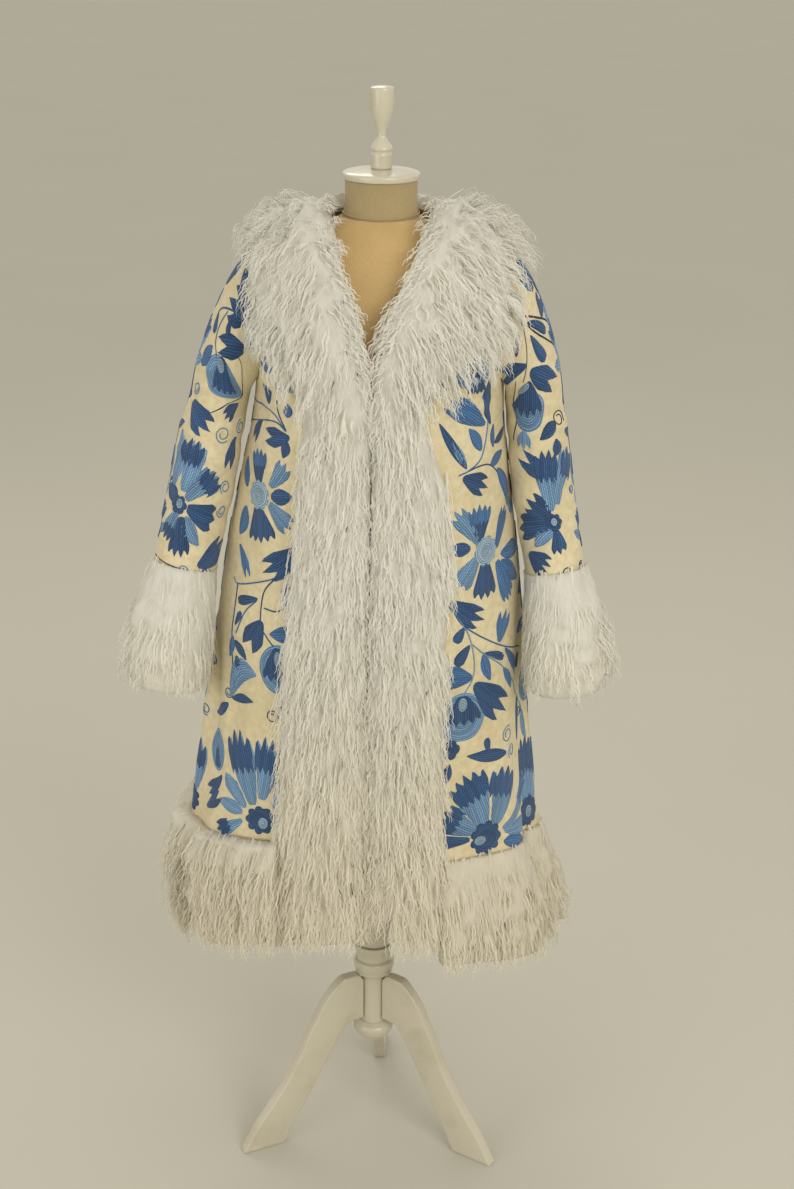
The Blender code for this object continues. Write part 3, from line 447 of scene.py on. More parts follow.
sleeveCreases = {
    1: ((-96, 150, -30, 176, 3.6, 7), (-104, 196, -34, 214, 2.4, 8), (-110, 262, -40, 288, 2.6, 9),
        (-20, 120, -60, 90, 1.8, 9), (20, 270, 96, 300, 2.2, 10), (-96, 340, -20, 322, 2.4, 9),
        (40, 180, 104, 150, 2.4, 9), (-70, 384, 10, 398, 1.8, 9), (60, 352, 120, 372, 2.0, 10),
        (-58, 232, 10, 246, -1.6, 9), (30, 92, 62, 60, 1.6, 9)),
    -1: ((-98, 142, -36, 164, 3.0, 7), (-108, 208, -40, 222, 2.6, 8), (-100, 284, -26, 306, 3.2, 8),
         (-16, 112, -58, 84, 1.6, 9), (24, 262, 92, 292, 2.0, 10), (-92, 352, -16, 330, 2.6, 9),
         (38, 186, 102, 158, 2.4, 9), (-60, 392, 16, 404, 1.8, 9), (56, 340, 112, 362, 2.2, 10),
         (-64, 250, 4, 258, -1.8, 9), (28, 96, 60, 64, 1.6, 9)),
}


def pressCreases(surface, creases):
    # each crease is deepest in its middle, runs out at both ends and wanders a little
    points = surface["points"]
    rows, cols = points.shape[:2]
    u, v = flatPlaces(surface)
    total = np.zeros((rows, cols))
    for number, (u0, v0, u1, v1, depth, width) in enumerate(creases):
        start, end = np.array((u0, v0)) / 1000, np.array((u1, v1)) / 1000
        run = end - start
        length = np.linalg.norm(run)
        along = ((u - start[0]) * run[0] + (v - start[1]) * run[1]) / length
        off = ((u - start[0]) * run[1] - (v - start[1]) * run[0]) / length
        off = off + 0.12 * length * np.sin(2.2 * along / length + number)
        t = along / length
        fade = np.exp(-(np.maximum(np.abs(t - 0.5) - 0.28, 0) / 0.17) ** 2)
        near = width / 1000 * (0.8 + 0.5 * np.clip(t, 0, 1))
        total += depth / 1000 * fade * (np.exp(-((off / near) ** 2))
                                        - 0.35 * np.exp(-(((off - 1.9 * near) / near) ** 2)))
    # nothing is pressed at the seams
    edge = np.minimum(np.arange(rows), np.arange(rows)[::-1])[:, None] / 6.0
    if surface["turn"] != 0:
        edge = np.minimum(edge, np.minimum(np.arange(cols), np.arange(cols)[::-1])[None, :] / 4.0)
    total *= np.clip(edge, 0, 1)
    surface["points"] = points - total[:, :, None] * surfaceNormals(surface)
    surface["normals"] = surfaceNormals(surface)
    return surface


def linear(hexColour):
    # sRGB hex to linear colour
    parts = [int(hexColour[i:i + 2], 16) / 255 for i in (1, 3, 5)]
    return tuple(c / 12.92 if c <= 0.04045 else ((c + 0.055) / 1.055) ** 2.4 for c in parts)


def addNode(tree, kind, inputs=None, **settings):
    # one node of a shader, with its settings and its inputs
    made = tree.nodes.new("ShaderNode" + kind)
    for key, value in settings.items():
        setattr(made, key, value)
    feed(tree, made, inputs or {})
    return made


def feed(tree, node, inputs):
    # each input is a plain value, another node's output, or a node whose first output is meant
    for key, value in inputs.items():
        if isinstance(value, bpy.types.Node):
            value = value.outputs[0]
        if isinstance(value, bpy.types.NodeSocket):
            tree.links.new(value, node.inputs[key])
        else:
            node.inputs[key].default_value = value


def toneRamp(tree, factor, low, high):
    # blends two linear colours between two places of a factor
    made = addNode(tree, "ValToRGB", {"Fac": factor})
    for element, (place, colour) in zip(made.color_ramp.elements, (low, high)):
        element.position = place
        element.color = (*colour, 1)
    return made


def newMaterial(name):
    made = bpy.data.materials.new(name)
    made.use_nodes = True
    tree = made.node_tree
    return made, tree, tree.nodes["Principled BSDF"]


def meshFrom(name, points, faces, finish, smoothed=True):
    # points in the coat's own frame; faces is an array of triangles or quads, or a list of them
    mesh = bpy.data.meshes.new(name)
    blocks = faces if isinstance(faces, list) else [faces]
    blocks = [np.asarray(b, np.int32) for b in blocks if len(b)]
    loops = np.concatenate([b.ravel() for b in blocks])
    counts = np.concatenate([np.full(len(b), b.shape[1], np.int32) for b in blocks])
    mesh.vertices.add(len(points))
    mesh.vertices.foreach_set("co", (np.asarray(points) + coat["shift"]).astype(np.float32).ravel())
    mesh.loops.add(len(loops))
    mesh.loops.foreach_set("vertex_index", loops)
    mesh.polygons.add(len(counts))
    mesh.polygons.foreach_set("loop_start", np.concatenate(((0,), np.cumsum(counts)[:-1])).astype(np.int32))
    mesh.update(calc_edges=True)
    mesh.polygons.foreach_set("use_smooth", np.full(len(counts), smoothed))
    mesh.validate()
    mesh.materials.append(finish)
    return placed(name, mesh)


def placed(name, data):
    made = bpy.data.objects.new(name, data)
    bpy.context.scene.collection.objects.link(made)
    return made


def giveUv(made, name, uv):
    # uv is one pair for each vertex
    loops = np.empty(len(made.data.loops), np.int32)
    made.data.loops.foreach_get("vertex_index", loops)
    layer = made.data.uv_layers.new(name=name)
    layer.uv.foreach_set("vector", np.asarray(uv, np.float32)[loops].ravel())


def giveColour(made, name, colours):
    layer = made.data.color_attributes.new(name, "FLOAT_COLOR", "POINT")
    full = np.ones((len(colours), 4), np.float32)
    full[:, :3] = colours
    layer.data.foreach_set("color", full.ravel())


def gridFaces(rows, cols, ring=False, start=0, flip=False):
    i, j = np.mgrid[0:rows - 1, 0:cols if ring else cols - 1]
    k = (j + 1) % cols
    quads = np.stack((i * cols + j, i * cols + k, (i + 1) * cols + k, (i + 1) * cols + j), axis=-1)
    quads = quads.reshape(-1, 4) + start
    return quads[:, ::-1] if flip else quads


def outlineOf(rows, cols, ring=False):
    # open edges of a grid, as pairs of vertex numbers that run round it
    j = np.arange(cols if ring else cols - 1)
    k = (j + 1) % cols
    last = (rows - 1) * cols
    sides = [np.stack((j, k), axis=1), np.stack((last + k, last + j), axis=1)]
    if not ring:
        i = np.arange(rows - 1)
        sides.append(np.stack(((i + 1) * cols, i * cols), axis=1))
        sides.append(np.stack((i * cols + cols - 1, (i + 1) * cols + cols - 1), axis=1))
    return np.concatenate(sides)


def fieldOf(u, v, scale, seed):
    # slow, smooth, uneven field between about -1 and 1 over two coordinates in metres
    rng = np.random.default_rng(seed)
    total = np.zeros(np.broadcast(u, v).shape)
    for _ in range(7):
        turn, phase = rng.uniform(0, 2 * math.pi, 2)
        rate = rng.uniform(0.6, 1.7) * 2 * math.pi / scale
        total = total + np.sin(rate * (u * math.cos(turn) + v * math.sin(turn)) + phase)
    return total / 3.2


def finishPiece(made, slot, *nodes):
    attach(made, "root")
    if nodes:
        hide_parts(*nodes)
    return made


fur = {
    "root": "#E2DCCC",            # shade between the strands
    "silk": "#FDFCF6",            # clean lamb's wool
    "tips": "#F8F3E4",            # old ivory towards the hem
    "roughness": 0.62,
    "glow": 0.46,                 # share of the light that goes through a lock
    "strandWidth": 0.0021,        # a lock of fibres, wide enough to show; one fibre is 0.03 mm
    "strandsInLock": 5,
    "crimp": 0.0150,              # one wave of the crimped wool; its finest curls are 4 mm
    "swing": 0.0019,              # how far a wave swings to each side
    "spread": 0.0125,             # how far a lock's strands stand apart at the hide
    "bodyShare": 0.74,            # depth of the bumpy body, as a share of the pile
    "fibresPerMetre": 430.0,      # fibres 2 mm apart, the finest that a whole-coat view can show
    "knotsPerMetre": 42.0,        # how often a fibre's shade changes along it
    "bandPile": ((0.0, 0.012), (0.18, 0.030), (0.45, 0.040), (0.75, 0.034), (1.0, 0.010)),
    "seamPile": ((0.0, 0.026), (0.25, 0.046), (0.65, 0.046), (1.0, 0.036)),
    "collarPile": ((0.0, 0.25), (0.3, 0.80), (0.7, 1.10), (1.0, 1.0)),
    "hemPile": ((0.00, 0.010, 0.036), (0.20, 0.018, 0.046), (0.50, 0.028, 0.044),
                (0.80, 0.034, 0.030), (1.00, 0.022, 0.010)),
    "hemBottom": ((0.00, 0.436, 0.458), (0.40, 0.430, 0.450), (0.75, 0.406, 0.410),
                  (1.00, 0.398, 0.405), (1.50, 0.394, 0.398), (2.00, 0.398, 0.398)),
    "cuffPile": ((0.0, 0.006), (0.2, 0.020), (0.5, 0.035), (0.72, 0.035), (0.9, 0.022), (1.0, 0.008)),
    "bandBottom": {1: (0.532, 0.455), -1: (0.478, 0.462)},
}


def tableAt(rows, at, which=1):
    return smooth([r[0] for r in rows], [r[which] for r in rows], at)


def lambWool():
    # long Mongolian lamb: silky at the root and crimped at the tip, so it scatters light
    # softly and has almost no gloss; painted shade, carried in furTone, makes it darker between the locks
    made, tree, shader = newMaterial("crimpedLambWool")
    tone = addNode(tree, "Attribute", attribute_name="furTone")
    strand = addNode(tree, "UVMap", uv_map="strand")
    apart = addNode(tree, "SeparateXYZ", {"Vector": strand})
    drift = addNode(tree, "TexNoise", {"Vector": strand, "Scale": 60.0, "Detail": 2.0})
    # fibres run down the pile and wander a little across it
    fine = addNode(tree, "Math", {0: apart.outputs["X"], 1: fur["fibresPerMetre"]}, operation="MULTIPLY")
    long = addNode(tree, "Math", {0: apart.outputs["Y"], 1: fur["knotsPerMetre"]}, operation="MULTIPLY")
    wander = addNode(tree, "Math", {0: drift, 1: 5.0, 2: fine}, operation="MULTIPLY_ADD")
    drawn = addNode(tree, "CombineXYZ", {"X": wander, "Y": long})
    height = addNode(tree, "TexNoise", {"Vector": drawn, "Scale": 1.0, "Detail": 2.5, "Roughness": 0.6})
    shade = addNode(tree, "MapRange", {"Value": height, "From Min": 0.3, "From Max": 0.68,
                                       "To Min": 0.91, "To Max": 1.03})
    mixed = addNode(tree, "VectorMath", {0: tone, "Scale": shade}, operation="SCALE")
    bump = addNode(tree, "Bump", {"Height": height, "Strength": 0.30, "Distance": 0.002})
    feed(tree, shader, {"Base Color": mixed, "Normal": bump, "Roughness": fur["roughness"],
                        "Specular IOR Level": 0.22, "Sheen Weight": 0.35, "Sheen Roughness": 0.5})
    # fibres pass on part of the light that falls on them, so the pile glows between its locks
    through = addNode(tree, "BsdfTranslucent", {"Color": mixed})
    both = addNode(tree, "MixShader", {0: fur["glow"], 1: shader, 2: through})
    feed(tree, tree.nodes["Material Output"], {"Surface": both})
    return made


def uncombed(down, share, root):
    return np.zeros((len(share), 3))


def toneAt(z, light):
    # light is 0 at the root and 1 at the tip; the wool yellows towards the hem
    root, silk, tips = (np.array(linear(fur[k])) for k in ("root", "silk", "tips"))
    age = np.clip((1.02 - z) / 0.55, 0, 1)[:, None]
    clean = silk * (1 - age) + tips * age
    return root + (clean - root) * np.asarray(light)[:, None]


def furPiece(name, base, out, depth, options, *nodes):
    # a bumpy closed body of wool with locks growing out of it, all one mesh
    ring = options.get("ring", False)
    turn = options["turn"]
    rows, cols = depth.shape
    across = np.linalg.norm(np.diff(base, axis=1, append=base[:, :1] if ring else base[:, -1:]), axis=2)
    across = np.concatenate((np.zeros((rows, 1)), np.cumsum(across, axis=1)[:, :-1]), axis=1)
    downward = np.concatenate((np.zeros((1, cols)), np.cumsum(
        np.linalg.norm(np.diff(base, axis=0), axis=2), axis=0)))
    swell = 1 + 0.16 * fieldOf(across, downward, 0.045, options["seed"]) \
        + 0.10 * fieldOf(across * 2.2, downward, 0.022, options["seed"] + 5)
    body = depth * fur["bodyShare"] * swell
    outer = base + body[:, :, None] * out
    normals = gridNormals(base, ring) * turn
    inner = base + options.get("inside", coat["furLift"]) * normals
    edges = outlineOf(rows, cols, ring)
    size = rows * cols
    rim = np.stack((edges[:, 1], edges[:, 0], edges[:, 0] + size, edges[:, 1] + size), axis=1)
    quads = np.concatenate((gridFaces(rows, cols, ring), gridFaces(rows, cols, ring, size, True), rim))
    if turn < 0:
        quads = quads[:, ::-1]
    # painted shade: the body is darker in the hollows between its bumps, and its inner face is darker still
    shaded = 0.86 + 0.14 * np.clip(swell.ravel() - 0.8, 0, 0.5) / 0.5
    points = [outer.reshape(-1, 3), inner.reshape(-1, 3)]
    tones = [toneAt(outer[:, :, 2].ravel(), shaded), toneAt(inner[:, :, 2].ravel(), np.full(size, 0.45))]
    flatUv = np.stack((across.ravel(), downward.ravel()), axis=1)
    uvs = [flatUv, flatUv]
    lockPoints, lockFaces, lockTones, lockUvs, lockNormals = growLocks(base, out, normals, depth, options)
    points.append(lockPoints)
    tones.append(lockTones)
    uvs.append(lockUvs)
    made = meshFrom(name, np.concatenate(points), [quads, lockFaces + 2 * size], finishes["wool"])
    giveColour(made, "furTone", np.concatenate(tones))
    giveUv(made, "strand", np.concatenate(uvs))
    # thin locks are lit as the soft surface that they make together
    skin = np.empty(len(made.data.vertices) * 3, np.float32)
    made.data.vertices.foreach_get("normal", skin)
    skin = skin.reshape(-1, 3)
    skin[2 * size:] = lockNormals
    made.data.normals_split_custom_set_from_vertices(skin)
    print("fur", name, "triangles", 2 * len(quads) + len(lockFaces))
    return finishPiece(made, "fur", *nodes)


def growLocks(base, out, normals, depth, options):
    # each lock is a few tapered ribbons that leave the hide together, hang and crimp
    rng = np.random.default_rng(options["seed"])
    rows, cols = depth.shape
    locks, strands, steps = options["locks"], fur["strandsInLock"], options["steps"]
    size = np.linalg.norm(np.cross(np.gradient(base, axis=1), np.gradient(base, axis=0)), axis=2)
    weight = size * options.get("density", np.ones((rows, cols)))
    weight = weight[:-1, :-1] if not options.get("ring") else weight[:-1]
    cell = rng.choice(weight.size, locks, p=(weight / weight.sum()).ravel())
    i = cell // weight.shape[1] + rng.uniform(0, 1, locks)
    j = cell % weight.shape[1] + rng.uniform(0, 1, locks)
    if options.get("ring"):
        wrap = lambda g: np.concatenate((g, g[:, :1]), axis=1)
        base, out, normals, depth = wrap(base), wrap(out), wrap(normals), wrap(depth)
    root, lean, normal, pile = (bilinear(g, i, j) for g in (base, out, normals, depth))
    lean /= np.linalg.norm(lean, axis=1)[:, None]
    normal /= np.linalg.norm(normal, axis=1)[:, None]
    gravity = np.array((0.0, 0.0, -1.0))
    hang = gravity - normal * (normal @ gravity)[:, None]
    comb = options["comb"](i / (rows - 1), j / (cols - 1), root)
    hang = hang + comb - normal * np.einsum("ij,ij->i", comb, normal)[:, None]
    hang /= np.maximum(np.linalg.norm(hang, axis=1), 1e-6)[:, None]
    sideways = np.cross(hang, normal)
    length = options["length"](i / (rows - 1), j / (cols - 1), root) * rng.uniform(0.72, 1.14, locks)
    # each strand is the lock's own line, moved a little and waved a little differently
    count = locks * strands
    root, lean, normal, pile, hang, sideways, length = (
        np.repeat(v, strands, axis=0) for v in (root, lean, normal, pile, hang, sideways, length))
    length = length * rng.uniform(0.85, 1.1, count)
    t = np.linspace(0, 1, steps + 1)[None, :]
    rise = 0.45 + 0.60 * np.sin(np.minimum(t * 1.7, 1.0) * math.pi / 2)
    rise = rise - 0.45 * np.clip(t - 0.55, 0, 1) ** 1.2
    standing = np.repeat(rng.uniform(0.80, 1.10, locks), strands)
    rise = rise * (standing * rng.uniform(0.86, 1.12, count))[:, None]
    crimp = np.repeat(fur["crimp"] * rng.uniform(0.9, 1.3, locks), strands) * options.get("wave", 1.0)
    start = np.repeat(rng.uniform(0, 2 * math.pi, locks), strands) + rng.normal(0, 0.6, count)
    phase = 2 * math.pi * length[:, None] * t / crimp[:, None] + start[:, None]
    swing = fur["swing"] * rng.uniform(0.5, 1.4, count)[:, None] * np.clip((t - 0.15) / 0.5, 0, 1)
    bend = np.repeat(rng.normal(0, 0.10, locks), strands) + rng.normal(0, 0.05, count)
    angle = rng.uniform(0, 2 * math.pi, count)
    spread = fur["spread"] * np.sqrt(rng.uniform(0, 1, count))
    gather = 1 - 0.35 * t
    aside = spread[:, None] * np.cos(angle)[:, None] * gather + bend[:, None] * t**1.4 * length[:, None] \
        + swing * np.sin(phase)
    ahead = spread[:, None] * np.sin(angle)[:, None] * gather + length[:, None] * (0.12 * t + 0.88 * t**1.1)
    paths = (root[:, None] + lean[:, None] * (pile[:, None] * rise)[:, :, None]
             + hang[:, None] * ahead[:, :, None] + sideways[:, None] * aside[:, :, None]
             + normal[:, None] * (0.6 * swing * np.cos(phase))[:, :, None])
    tangent = np.gradient(paths, axis=1)
    tangent /= np.maximum(np.linalg.norm(tangent, axis=2), 1e-9)[:, :, None]
    facing = normal[:, None] + rng.normal(0, 0.35, (count, 1, 3))
    wide = np.cross(tangent, facing)
    wide /= np.maximum(np.linalg.norm(wide, axis=2), 1e-9)[:, :, None]
    # each strand is a ribbon that narrows to its tip, and painted shade makes it a little darker near its
    # root
    taper = np.clip(1.04 - t[0], 0, 1) ** 0.55
    half = 0.5 * fur["strandWidth"] * rng.uniform(0.7, 1.25, count)[:, None] * taper
    left, right = paths - wide * half[:, :, None], paths + wide * half[:, :, None]
    points = np.stack((left, right), axis=2).reshape(-1, 3)
    k = np.arange(steps)
    first = (np.arange(count) * 2 * (steps + 1))[:, None] + 2 * k[None, :]
    faces = np.concatenate((np.stack((first, first + 1, first + 3), axis=-1).reshape(-1, 3),
                            np.stack((first, first + 3, first + 2), axis=-1).reshape(-1, 3)))
    # painted shade: 8 % darker at the root, where the pile shades the strand; each strand's tone then differs
    # a little at random
    light = np.repeat((0.92 + 0.08 * np.clip(t[0] * 1.6, 0, 1))[None, :], count, axis=0)
    light = light * rng.uniform(0.90, 1.05, (count, 1))
    light, along = (np.repeat(v[:, :, None], 2, axis=2).ravel() for v in (light, length[:, None] * t))
    aside = np.tile(np.array((0.0, 3.2 * fur["strandWidth"])), count * (steps + 1)) \
        + np.repeat(rng.uniform(0, 1, count), 2 * (steps + 1))
    # light falls on each strand as on a part of a rounded lock
    tilt = normal[:, None] + rng.normal(0, 0.16, (count, 1, 3)) + np.array((0.0, 0.0, 0.25))
    tilt = tilt + 2.2 * (paths - paths.mean(axis=1)[:, None])
    tilt = tilt / np.linalg.norm(tilt, axis=2)[:, :, None]
    tilt = np.repeat(tilt[:, :, None], 2, axis=2).reshape(-1, 3)
    return points, faces, toneAt(points[:, 2], light), np.stack((aside, along), axis=1), tilt


def leanOut(normals, heights, shares, sides):
    # the fur leans out over the sleeve near the armhole, less so on the right
    rise = np.clip((heights - 1.41) / 0.06, 0.0, 1.0)
    leaning = np.array(normals)
    lean = np.where(np.asarray(sides) > 0, 0.8, 0.2)
    leaning[:, :, 0] += lean * rise[:, None] * np.clip(shares, 0.0, 1.0)[None, :] ** 2 * sides
    return leaning / np.linalg.norm(leaning, axis=2)[:, :, None]


def hangTo(grid, heights, bottoms):
    # stretches or shortens each column so that it ends at its own height
    share = (heights - heights[0]) / (heights[-1] - heights[0])
    for j, bottom in enumerate(bottoms):
        wanted = bottom + share * (heights[-1] - bottom)
        for k in range(3):
            grid[:, j, k] = np.interp(wanted, heights, grid[:, j, k])
    return grid


def frontFur(side):
    # the band down one front edge, which widens over the chest to the shoulder
    name = "left" if side > 0 else "right"
    bottom = min(fur["bandBottom"][side])
    tail = np.linspace(bottom, coat["hemHeight"], 20)
    heights = np.concatenate((tail, np.linspace(coat["hemHeight"], coat["neckHeight"], 140)[1:]))
    shares = np.linspace(0.0, 1.0, 24)
    base = []
    for h in heights:
        line = rowCurve(side, False, h)
        reach = min(reachAt(side, h), 0.93 * lengthsOf(line)[-1])
        turn = coat["edgeTurn"] * (1 - 0.55 * np.clip(yokeShare(h), 0.0, 1.0))
        base.append(atLengths(line, -turn + (reach + turn) * shares))
    base = np.array(base)
    base[:20] = hangTo(base[:20].copy(), tail, np.linspace(*fur["bandBottom"][side], len(shares)))
    normals = gridNormals(base) * side
    rise = np.clip(yokeShare(heights), 0, 1)[:, None]
    depth = tableAt(fur["bandPile"], shares) * (1 - rise) + tableAt(fur["seamPile"], shares) * rise
    depth = depth * (0.45 + 0.55 * np.clip((heights - bottom) / 0.09, 0.0, 1.0) ** 0.5)[:, None]
    if side < 0:
        # the right shoulder's fur lies flatter by the sleeve
        depth = depth * (1 - 0.28 * rise * np.clip(shares * 2 - 1, 0, 1)[None, :])
    out = leanOut(normals, heights, shares, side)
    across = np.array((side, 0.0, 0.0))

    def comb(down, share, root):
        # away from the neck edge above the chest, straight down below it, over the edge in front
        high = np.clip((root[:, 2] - 1.25) / 0.2, 0, 1)
        spread = 0.38 if side > 0 else 0.12
        outward = np.where(share < 0.16, -0.15 - 0.75 * high, spread * high + 0.22 * (share - 0.35))
        return across * outward[:, None]

    def length(down, share, root):
        tip = np.clip((root[:, 2] - bottom) / 0.06, 0.3, 1.0) * np.where(share < 0.16, 0.5, 1.0)
        if side < 0:
            tip = tip * (1 - 0.3 * np.clip((root[:, 2] - 1.36) / 0.05, 0, 1) * np.clip(share * 2 - 0.8, 0, 1))
        return (0.056 + 0.008 * np.clip((1.2 - root[:, 2]) / 0.5, 0, 1)) * tip

    density = 1 + 1.6 * np.repeat(np.exp(-shares / 0.12)[None, :], len(heights), axis=0)
    options = {"turn": side, "seed": 11 + side, "comb": comb, "length": length, "locks": 960,
               "density": density, "steps": 10}
    return furPiece(f"fur_{name}_front", base, out, depth, options, f"fur_front_{name}")


def collarFur():
    # the fur round the back of the neck, from the yoke's seam up to the neckline
    heights = np.linspace(coat["underarmHeight"] + 5 / 9 * 0.25, coat["neckHeight"], 30)
    base = np.array([backRow(h, 41)[0] for h in heights])
    across = np.linspace(-1, 1, base.shape[1])
    fromNeck = (np.abs(across) - necklineShare) / (1 - necklineShare)
    pile = tableAt(fur["collarPile"], np.linspace(0.0, 1.0, len(heights)))
    depth = tableAt(fur["seamPile"], np.clip(fromNeck, 0, 1))[None, :] * pile[:, None]
    out = leanOut(-gridNormals(base), heights, fromNeck, np.sign(across)[None, :])

    def comb(down, share, root):
        # outward from the middle, and back
        outward = 0.5 * np.sign(root[:, 0]) * np.abs(2 * share - 1)
        return np.stack((outward, 0.25 + 0 * share, 0 * share), axis=1)

    def length(down, share, root):
        return 0.048 + 0.010 * down

    options = {"turn": -1, "seed": 31, "comb": comb, "length": length, "locks": 500, "steps": 10,
               "wave": 1.3}
    return furPiece("fur_neck", base, out, depth, options, "fur_collar")


def rootsOfHem(shape):
    # the hide hangs from the hem, so that most roots are near it
    up = np.linspace(0, 1, shape[0])
    return np.repeat((up**0.7 + 0.12 + 2.6 * np.exp(-(1 - up) / 0.06))[:, None], shape[1], axis=1)


def hemFur():
    # the deep band below the hem: left, right and back
    lowest = min(min(row[1:]) for row in fur["hemBottom"])
    heights = np.linspace(lowest, coat["hemHeight"] + 0.001, 30)
    down = np.linspace(1, 0, len(heights))
    piles = [tableAt(fur["hemPile"], down, which)[:, None] for which in (1, 2)]
    gap = 0.5 * coat["seamGap"]

    def length(down, share, root):
        # roots fill the upper two thirds, and their tips reach the lowest edge
        return np.minimum(0.014 + 0.15 * down, 0.080)

    def hung(name, base, girth, left, bottoms, depth, turn, seed, locks):
        base = hangTo(base, heights, bottoms)
        base[:, :, 2] += hemShift(girth, left) * np.linspace(0, 1, len(heights))[:, None]
        options = {"turn": turn, "seed": seed, "comb": uncombed, "length": length, "locks": locks,
                   "density": rootsOfHem(base.shape), "inside": -coat["wall"], "steps": 12}
        normals = gridNormals(base) * turn
        return furPiece(f"fur_{name}_hem", base, normals, depth, options, f"fur_hem_{name}")

    made = []
    for side, name, pile in ((1, "left", piles[0]), (-1, "right", piles[1])):
        base = []
        for h in heights:
            line = rowCurve(side, False, h)
            total = lengthsOf(line)[-1] - gap
            reach = min(reachAt(side, h), 0.93 * total)
            base.append(atLengths(line, np.linspace(reach * 0.98, total, 34)))
        base = np.array(base)
        girth = np.linspace(0.35, 1.0, base.shape[1])
        bottoms = tableAt(fur["hemBottom"], girth, 1 if side > 0 else 2)
        depth = np.repeat(pile, base.shape[1], axis=1)
        made.append(hung(name, base, girth, side > 0, bottoms, depth, side, 51 + side, 350))
    base = np.array([backRow(h, 46, gap)[0] for h in heights])
    across = np.linspace(-1, 1, base.shape[1])
    girth = 2 - np.abs(across)
    bottoms = np.where(across < 0, *(tableAt(fur["hemBottom"], girth, which) for which in (2, 1)))
    left = 0.5 * (across + 1)[None, :]
    depth = piles[1] * (1 - left) + piles[0] * left
    made.append(hung("back", base, girth, across > 0, bottoms, depth, -1, 61, 620))
    return made


def cuffFur(side):
    # a deep cuff of fur, thinner where it lies against the coat
    name = "left" if side > 0 else "right"
    turns = roundTurns(60)
    heights = np.linspace(sleeve["end"] + 0.001, sleeve["cuffBottom"], 32)
    base = np.array([sleeveRing(side, z, turns) for z in heights])
    normals = ringNormals(base)
    turn = 1 if np.einsum("ijk,ijk->", gridNormals(base, True), normals) > 0 else -1
    over = (1 - np.cos(turns)) / 2
    share = 0.42 + 0.58 * np.clip(over * 1.7, 0.0, 1.0)
    down = np.linspace(0.0, 1.0, len(heights))
    depth = tableAt(fur["cuffPile"], down)[:, None] * share[None, :]

    def length(down, share, root):
        return np.minimum(0.012 + 0.14 * (1 - down), 0.070)

    density = np.repeat((1.15 - down**1.5 + 2.6 * np.exp(-down / 0.06))[:, None], len(turns), axis=1)
    options = {"turn": turn, "seed": 71 + side, "comb": uncombed, "length": length, "locks": 340,
               "ring": True, "density": density, "inside": -coat["wall"], "steps": 12}
    return furPiece(f"fur_{name}_cuff", base, normals, depth, options, f"fur_cuff_{name}")


cotton = {
    "ground": "#DCD1B0",          # unbleached cotton
    "shade": "#CCBE98",
    "weave": 0.0022,              # thread spacing; the real one is 0.6 mm, too fine to show
    "roughness": 0.86,
}


def unbleachedCotton():
    # plain-woven undyed cotton: matt and warm, with slubs, faint stains and a cross-wise weave
    made, tree, shader = newMaterial("plainWovenCotton")
    spot = addNode(tree, "UVMap", uv_map="weave")
    apart = addNode(tree, "SeparateXYZ", {"Vector": spot})
    threads = []
    for axis in ("X", "Y"):
        turn = addNode(tree, "Math", {0: apart.outputs[axis], 1: 2 * math.pi / cotton["weave"]},
                       operation="MULTIPLY")
        threads.append(addNode(tree, "Math", {0: turn}, operation="SINE"))
    weave = addNode(tree, "Math", {0: threads[0], 1: threads[1]}, operation="MULTIPLY")
    slubs = addNode(tree, "TexNoise", {"Vector": spot, "Scale": 90.0, "Detail": 4.0})
    stains = addNode(tree, "TexNoise", {"Vector": spot, "Scale": 9.0, "Detail": 5.0, "Roughness": 0.6})
    tone = addNode(tree, "Math", {0: stains, 1: slubs}, operation="MULTIPLY")
    ramp = toneRamp(tree, tone, (0.12, linear(cotton["shade"])), (0.34, linear(cotton["ground"])))
    pucker = addNode(tree, "TexNoise", {"Vector": spot, "Scale": 55.0, "Detail": 2.0})
    height = addNode(tree, "Math", {0: weave, 1: 0.10, 2: pucker}, operation="MULTIPLY_ADD")
    bump = addNode(tree, "Bump", {"Height": height, "Strength": 0.35, "Distance": 0.003})
    feed(tree, shader, {"Base Color": ramp, "Normal": bump, "Roughness": cotton["roughness"],
                        "Specular IOR Level": 0.25, "Sheen Weight": 0.15})
    return made


def clothPiece(name, surface, flip, *nodes):
    # fine outer face, a lining face on every few points, and a rim between them
    points, normals = surface["points"], surface["normals"]
    ring = surface["turn"] == 0
    rows, cols = points.shape[:2]
    size = rows * cols
    inner = points - coat["wall"] * normals
    step = coat["liningStep"]
    keepRows, keepCols = (np.unique(np.append(np.arange(0, n, step), n - 1)) for n in (rows, cols))
    keepCols = np.arange(0, cols, step) if ring else keepCols
    coarse = inner[np.ix_(keepRows, keepCols)]
    edges = outlineOf(rows, cols, ring)
    # the rim joins each point of the outer edge to the lining's own point beside it
    near, beside = (np.minimum(np.arange(n) // step, len(kept) - 1)
                    for n, kept in ((rows, keepRows), (cols, keepCols)))
    near[-1], beside[-1] = len(keepRows) - 1, len(keepCols) - 1
    place = (size + near[:, None] * len(keepCols) + beside[None, :]).ravel()
    a, b = edges[:, 0], edges[:, 1]
    same = place[a] == place[b]
    corners = np.stack((b[same], a[same], place[a[same]]), axis=1)
    rim = np.stack((b[~same], a[~same], place[a[~same]], place[b[~same]]), axis=1)
    faces = [gridFaces(rows, cols, ring), rim, corners,
             gridFaces(len(keepRows), len(keepCols), ring, size, True)]
    if flip:
        faces = [f[:, ::-1] for f in faces]
    spots = np.concatenate((points.reshape(-1, 3), coarse.reshape(-1, 3)))
    flat = np.stack(flatPlaces(surface), axis=-1)
    uv = np.concatenate((flat.reshape(-1, 2), flat[np.ix_(keepRows, keepCols)].reshape(-1, 2)))
    made = meshFrom(name, spots, faces, finishes["cotton"])
    giveUv(made, "weave", uv)
    print("cloth", name, "triangles", sum((f.shape[1] - 2) * len(f) for f in faces))
    return finishPiece(made, "cloth", *nodes)


